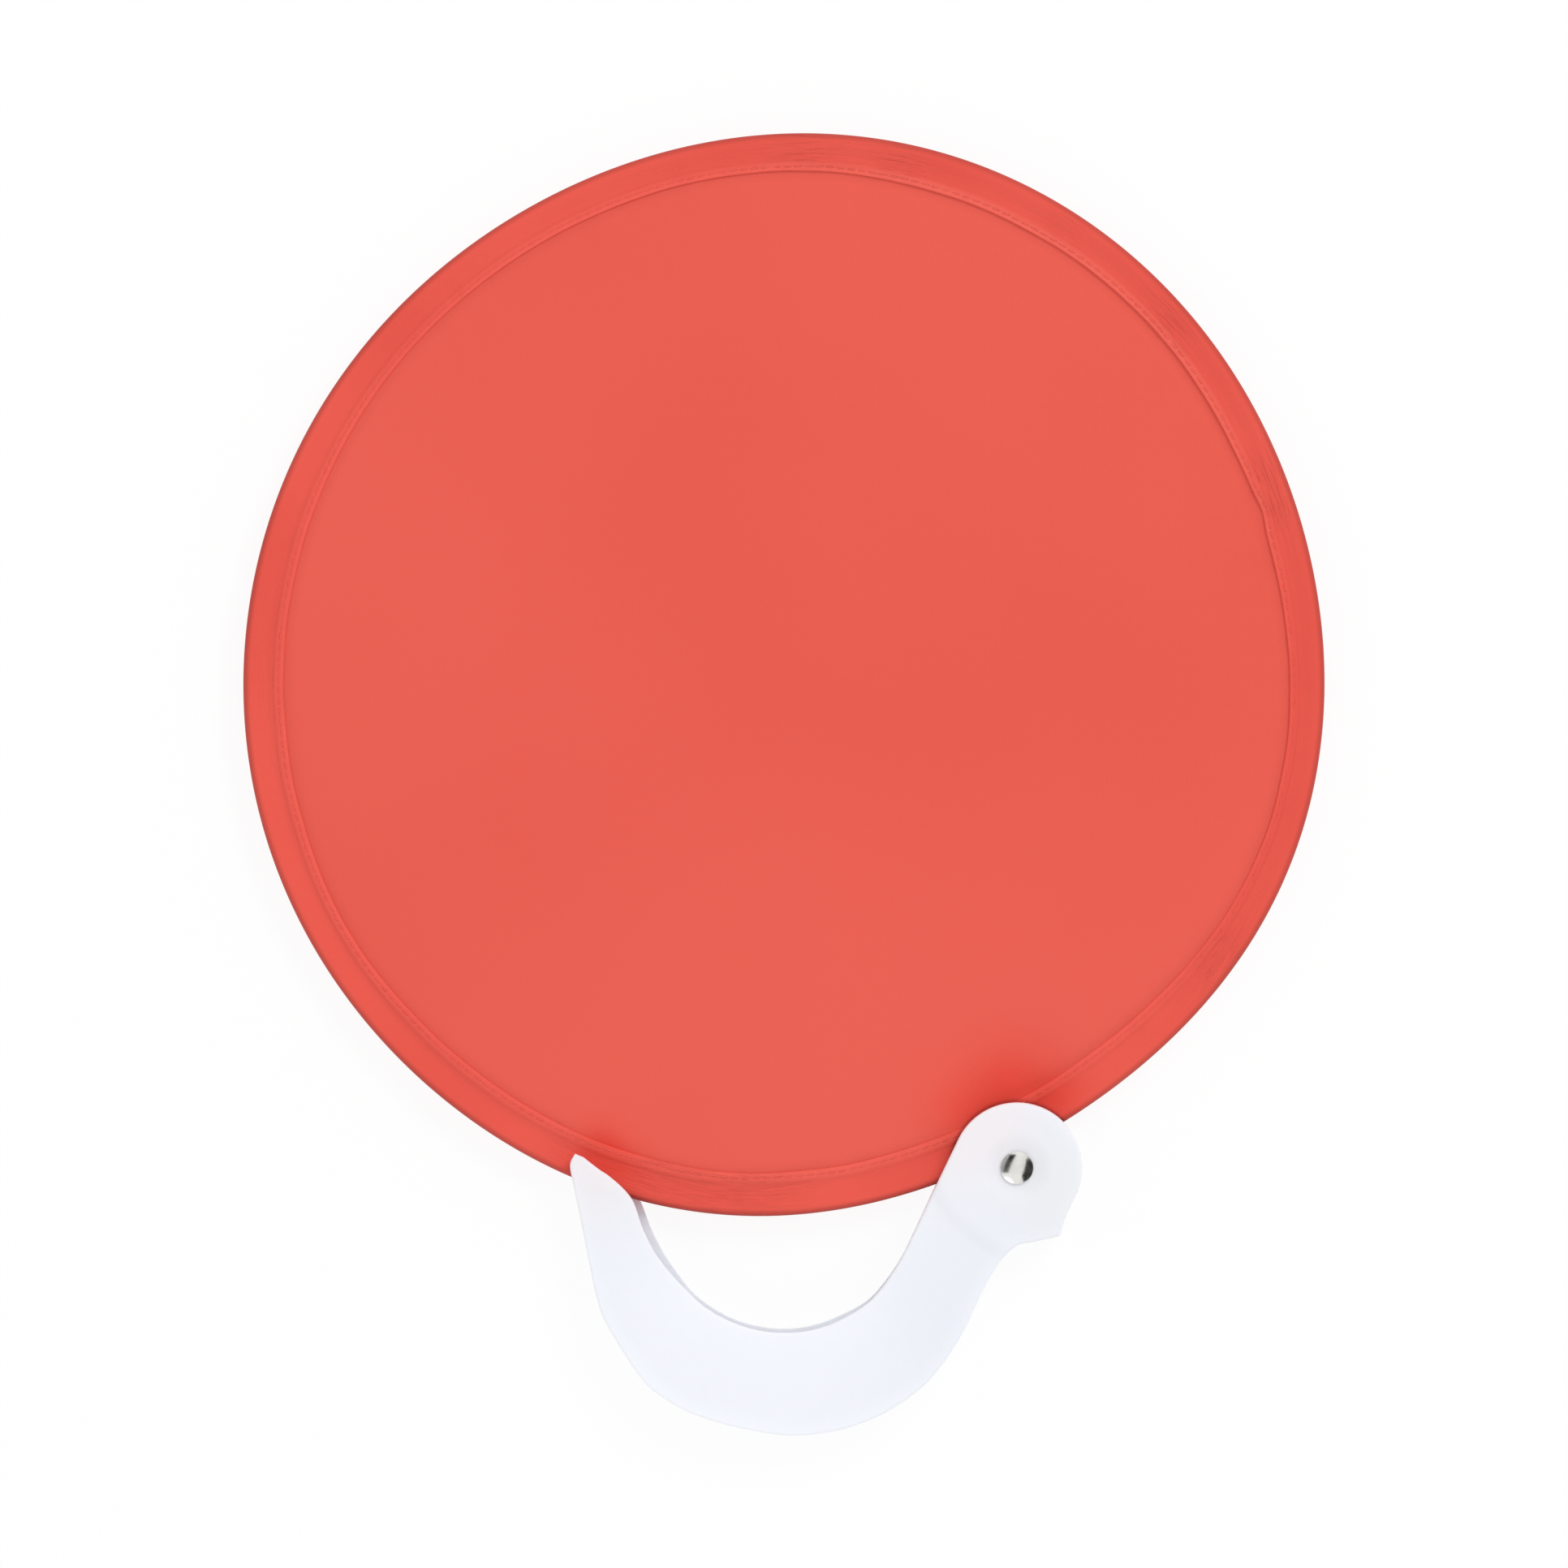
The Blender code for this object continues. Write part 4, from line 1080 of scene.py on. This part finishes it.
def moulded_plate(name, outline, low, high, low_round=0.0, high_round=0.0):
    """A plate in plan with rounded edges, less so at narrow corners. Its outline has it on the right."""
    inward = [inner - point for point, inner in zip(outline, beside(outline, -1.0, closed=True))]
    insets = safe_insets(outline, inward, max(low_round, high_round))
    rings = []
    for share, height in edge_levels(low, low_round, 1) + edge_levels(high, high_round, -1)[::-1]:
        rings.append([])
        for point, way, inset in zip(outline, inward, insets):
            rings[-1].append((*on_handle(point + way * inset * share), height))
    return stacked_rings(name, rings)


def clamped(share):
    return min(max(share, 0.0), 1.0)


def soft_step(share):
    """Rises from 0 to 1 with the share, level at both ends and past them."""
    share = clamped(share)
    return share * share * (3 - 2 * share)


def raise_lobe(front):
    """Lifts the lobe and its heel above the arm, with a long soft slope round their foot."""
    lobe, heel = [on_handle(point) for point in in_lobe([LOBE_MIDDLE_SHARE, HEEL_MIDDLE_SHARE])]
    shape = bmesh.new()
    shape.from_mesh(front.data)
    count = round(LOBE_REACH / LOBE_GRID)
    for way in (Vector((1.0, 0.0, 0.0)), Vector((0.0, 1.0, 0.0))):
        for step in range(-count, count + 1):
            faces = [face for face in shape.faces
                     if any((point.co.xy - lobe).length < LOBE_REACH for point in face.verts)]
            edges = {edge for face in faces for edge in face.edges}
            points = {point for face in faces for point in face.verts}
            bmesh.ops.bisect_plane(shape, geom=[*faces, *edges, *points], dist=MERGE_DISTANCE / 10,
                                   plane_co=lobe.to_3d() + way * step * LOBE_GRID, plane_no=way)
    for point in shape.verts:
        if point.co.z > CENTRE.z + MERGE_DISTANCE:
            along = (point.co.xy - lobe).dot(heel - lobe) / (heel - lobe).length_squared
            away = (point.co.xy - lobe.lerp(heel, clamped(along))).length
            point.co.z += LOBE_RISE * soft_step(1 - (away - STEP_START) / STEP_WIDTH)
    shape.to_mesh(front.data)
    shape.free()


def shade(piece):
    piece.data.shade_smooth()
    piece.data.set_sharp_from_angle(angle=math.radians(SHARP_ANGLE))


def turned(name, profile):
    """A turned shape about the rivet's axis. The profile, in (radius, height), runs down its outer side."""
    outline = bmesh.new()
    corners = [outline.verts.new((radius, 0.0, height)) for radius, height in profile]
    for start, end in zip(corners, corners[1:]):
        outline.edges.new((start, end))
    if min(radius for radius, _ in profile) > 0.0:
        outline.edges.new((corners[-1], corners[0]))
    made = shape_object(name, outline)
    screw = made.modifiers.new("Turn", "SCREW")
    screw.steps = TURNED_STEPS
    screw.render_steps = TURNED_STEPS
    screw.use_merge_vertices = True
    screw.merge_threshold = MERGE_DISTANCE
    keep_shape(made)
    made.data.transform(Matrix.Translation((PIVOT.x, PIVOT.y, 0.0)))
    shade(made)
    return made


def combine(made, other, operation):
    step = made.modifiers.new(other.name, "BOOLEAN")
    step.object = other
    step.operation = operation
    keep_shape(made)
    bpy.data.objects.remove(other)


def drilled(radius, top):
    """The profile of what a hole takes away, from this height down past the handle's back."""
    return [(0.0, top), (radius, top), (radius, -OVERRUN), (0.0, -OVERRUN)]


def soften_mouth(made):
    """Rounds the edges where the slot opens: those on its two faces whose sides stand out, not in."""
    shape = bmesh.new()
    shape.from_mesh(made.data)
    bmesh.ops.remove_doubles(shape, verts=shape.verts, dist=MERGE_DISTANCE)
    chosen = []
    for edge in shape.edges:
        heights = [point.co.z for point in edge.verts]
        at_face = any(max(abs(height - level) for height in heights) < MERGE_DISTANCE
                      for level in (SLOT_TOP, SLOT_BOTTOM))
        if at_face and edge.is_convex and edge.calc_face_angle(0.0) > math.radians(MOUTH_ANGLE):
            chosen.append(edge)
    bmesh.ops.bevel(shape, geom=chosen, offset=MOUTH_ROUND, segments=2, profile=0.5, affect="EDGES",
                    clamp_overlap=True)
    shape.to_mesh(made.data)
    shape.free()


def handle_moulding(surface):
    middle = CENTRE.z
    back = outer_edge() + inner_edge(BACK_EDGE_SHARES) + lobe_edge()
    front = outer_edge() + inner_edge(FRONT_EDGE_SHARES) + lobe_edge()
    made = moulded_plate("handle_moulding", back, 0.0, middle, low_round=EDGE_ROUND)
    front_half = moulded_plate("front_half", front, middle, ARM_FRONT, high_round=EDGE_ROUND)
    raise_lobe(front_half)
    combine(made, front_half, "UNION")
    combine(made, moulded_plate("slot_space", slot_outline(), SLOT_BOTTOM, SLOT_TOP), "DIFFERENCE")
    above = LOBE_FRONT + OVERRUN
    bowl = []
    for step in range(DISH_STEPS + 1):
        share = step / DISH_STEPS
        radius = DISH_RADIUS + (DISH_FLOOR_RADIUS - DISH_RADIUS) * share
        bowl.append((radius, LOBE_FRONT - LOBE_RISE * soft_step(share)))
    for name, profile in (
        ("front_dish", [(0.0, above), (DISH_RADIUS, above), *bowl, (0.0, ARM_FRONT)]),
        ("back_dish", drilled(BACK_DISH_RADIUS, BACK_DISH_DEPTH)),
        ("rivet_hole", drilled(RIVET_BORE, above)),
    ):
        combine(made, turned(name, profile), "DIFFERENCE")
    soften_mouth(made)
    shade(made)
    weighted = made.modifiers.new("Even shading", "WEIGHTED_NORMAL")
    weighted.keep_sharp = True
    keep_shape(made)
    made.data.materials.clear()
    made.data.materials.append(surface)
    return made


# Rivet


def rivet_body(surface):
    """Domed head with a shallow dimple, shank, and the tube end rolled over the washer."""
    low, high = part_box("rivet")
    rise = HEAD_HEIGHT - HEAD_BRIM
    sphere = (HEAD_RADIUS**2 + rise**2) / (2 * rise)
    profile = []
    for step in range(DOME_STEPS + 1):
        radius = HEAD_RADIUS * step / DOME_STEPS
        height = high.z - sphere + math.sqrt(sphere**2 - radius**2)
        dimple = DIMPLE_DEPTH * (1 + math.cos(math.pi * min(radius / DIMPLE_RADIUS, 1.0))) / 2
        profile.append((radius, height - dimple))
    seat = ARM_FRONT + SEAT_GAP
    roll_top = low.z + ROLL_HEIGHT
    profile += [
        (HEAD_RADIUS - HEAD_EASE, seat), (SHANK_RADIUS, seat), (SHANK_RADIUS, roll_top),
        (ROLL_RADIUS - HEAD_EASE, roll_top),
    ]
    middle, reach = (ROLL_RADIUS + TUBE_BORE) / 2, (ROLL_RADIUS - TUBE_BORE) / 2
    for angle in angles(180.0, ROLL_STEPS):
        height = low.z + ROLL_HEIGHT / 2 - ROLL_HEIGHT / 2 * math.sin(angle)
        profile.append((middle + reach * math.cos(angle), height))
    profile += [(TUBE_BORE, low.z + TUBE_DEPTH), (0.0, low.z + TUBE_DEPTH + TUBE_BORE / 2)]
    made = turned("rivet_body", profile)
    made.data.materials.append(surface)
    return made


def round_piece(name, node, edge, surface):
    """A washer or spacer that fills its node's box, with the rivet's bore and its four edges eased."""
    low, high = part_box(node)
    outer, inner = (high.x - low.x) / 2, RIVET_BORE
    made = turned(name, [
        (inner, high.z - edge), (inner + edge, high.z), (outer - edge, high.z), (outer, high.z - edge),
        (outer, low.z + edge), (outer - edge, low.z), (inner + edge, low.z), (inner, low.z + edge),
    ])
    made.data.materials.append(surface)
    return made


# Stage


def seen_directly(tree):
    """1 for what the camera sees, and for what metal or glass shows it."""
    rays = add(tree, "ShaderNodeLightPath").outputs
    seen = calc(tree, "ADD", rays["Is Camera Ray"], rays["Is Glossy Ray"])
    return calc(tree, "ADD", seen, rays["Is Transmission Ray"], clamp=True)


def grey(level):
    return (level, level, level, 1.0)


def level_sheet(name, corners, height, surface):
    """A flat sheet of the stage with these corners in plan."""
    mesh = bpy.data.meshes.new(name)
    mesh.from_pydata([(*corner, height) for corner in corners], [], [range(len(corners))])
    mesh.materials.append(surface)
    made = new_object(name, mesh)
    return made


def plain_floor():
    """A light table: mostly a plain white glow, the rest matt, to keep a soft part of the shadow."""
    surface = bpy.data.materials.new("white_floor")
    surface.use_nodes = True
    tree = surface.node_tree
    tree.nodes.remove(tree.nodes["Principled BSDF"])
    matt = add(tree, "ShaderNodeBsdfDiffuse", {"Color": grey(FLOOR_MATT)})
    white = add(tree, "ShaderNodeEmission", {"Color": grey(1.0), "Strength": 1.0})
    mixed = add(tree, "ShaderNodeMixShader", [FLOOR_SHARE, matt, white])
    tree.links.new(mixed.outputs[0], tree.nodes["Material Output"].inputs["Surface"])
    level_sheet("floor", FLOOR, FLOOR_HEIGHT, surface)


def dark_cards():
    """Cards over the object, seen by what is glossy alone, which give the bright metal its crescents."""
    surfaces = {}
    for name, level in CARD_GREYS.items():
        surfaces[name] = new_material(name, Base_Color=grey(level), Roughness=1.0)[0]
    for name, surface, corners in CARDS:
        card = level_sheet(name, corners, CARD_HEIGHT, surfaces[surface])
        card.visible_camera = False
        card.visible_diffuse = False
        card.visible_shadow = False


def soft_lamp(name, place, size, power, mirrored):
    """A round lamp that points at the object. The bright metal shows it only if it is mirrored."""
    lamp = bpy.data.lights.new(name, "AREA")
    lamp.shape = "DISK"
    lamp.size = size
    lamp.energy = power
    made = new_object(name, lamp)
    made.location = place
    made.rotation_euler = (-Vector(place)).to_track_quat("-Z", "Y").to_euler()
    made.visible_glossy = mirrored


def studio():
    """A pale room and two large soft lamps, the stronger one from the upper right."""
    world = bpy.data.worlds.new("pale_room")
    bpy.context.scene.world = world
    world.use_nodes = True
    tree = world.node_tree
    background = tree.nodes["Background"]
    background.inputs["Color"].default_value = grey(1.0)
    level = calc(tree, "MULTIPLY_ADD", seen_directly(tree), 1.0 - ROOM_LEVEL, ROOM_LEVEL)
    tree.links.new(level, background.inputs["Strength"])
    for lamp in LAMPS:
        soft_lamp(*lamp)


def photo_camera():
    """Looks straight down on the front. The frame's width takes in the photograph's at the disc's height."""
    camera = bpy.data.cameras.new("camera")
    camera.lens = LENS
    camera.sensor_width = SENSOR
    made = new_object("camera", camera)
    made.location = (0.0, 0.0, CENTRE.z + FRAME_PIXELS * PIXEL * LENS / SENSOR)
    bpy.context.scene.camera = made


# The object


def dress(node, surface):
    """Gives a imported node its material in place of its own."""
    slots = frame["nodes"][node].data.materials
    slots.clear()
    slots.append(surface)


bpy.context.scene.view_settings.view_transform = "Standard"
photo_camera()
studio()
plain_floor()
dark_cards()

WRINKLES = wrinkle_field()
cloth = fan_cloth(red_cloth("red_nylon", CLOTH_REDS, CLOTH_WEAVE_PITCH, patch=0.16))
tape = rim_tape(red_cloth("red_tape", TAPE_REDS, TAPE_WEAVE_PITCH, patch=0.05, uv_name="strip"))
thread = red_thread()
seam = stitch_tree()
front_stitches = stitches("stitches_front", seam, thread, side=1, seed=1)
back_stitches = stitches("stitches_back", seam, thread, side=-1, seed=2)
steel = polished_metal("spring_steel", STEEL_GREYS, roughness=(0.25, 0.42), scratch_scale=900.0)
dress("spring_ring", steel)

nickel = polished_metal("nickel_plate", NICKEL_GREYS, roughness=(0.10, 0.2), scratch_scale=1200.0)
white = moulded_plastic()
moulding = handle_moulding(frosted_plastic())
rivet = rivet_body(nickel)
washer = round_piece("washer_ring", "rivet_washer", WASHER_EDGE, nickel)
front_spacer = round_piece("front_spacer", "spacer_front", SPACER_EDGE, white)
back_spacer = round_piece("back_spacer", "spacer_back", SPACER_EDGE, white)

for piece, body, slot, node in (
    (cloth, "disc", "red_nylon", "nylon_panel"),
    (tape, "disc", "red_tape", "rim_binding"),
    (front_stitches, "disc", "red_thread", "seam_thread_front"),
    (back_stitches, "disc", "red_thread", "seam_thread_back"),
    (moulding, "handle", "frosted_polypropylene", "handle"),
    (rivet, "handle", "nickel_plate", "rivet"),
    (washer, "handle", "nickel_plate", "rivet_washer"),
    (front_spacer, "handle", "white_polypropylene", "spacer_front"),
    (back_spacer, "handle", "white_polypropylene", "spacer_back"),
):
    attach(piece, body)
    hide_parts(node)
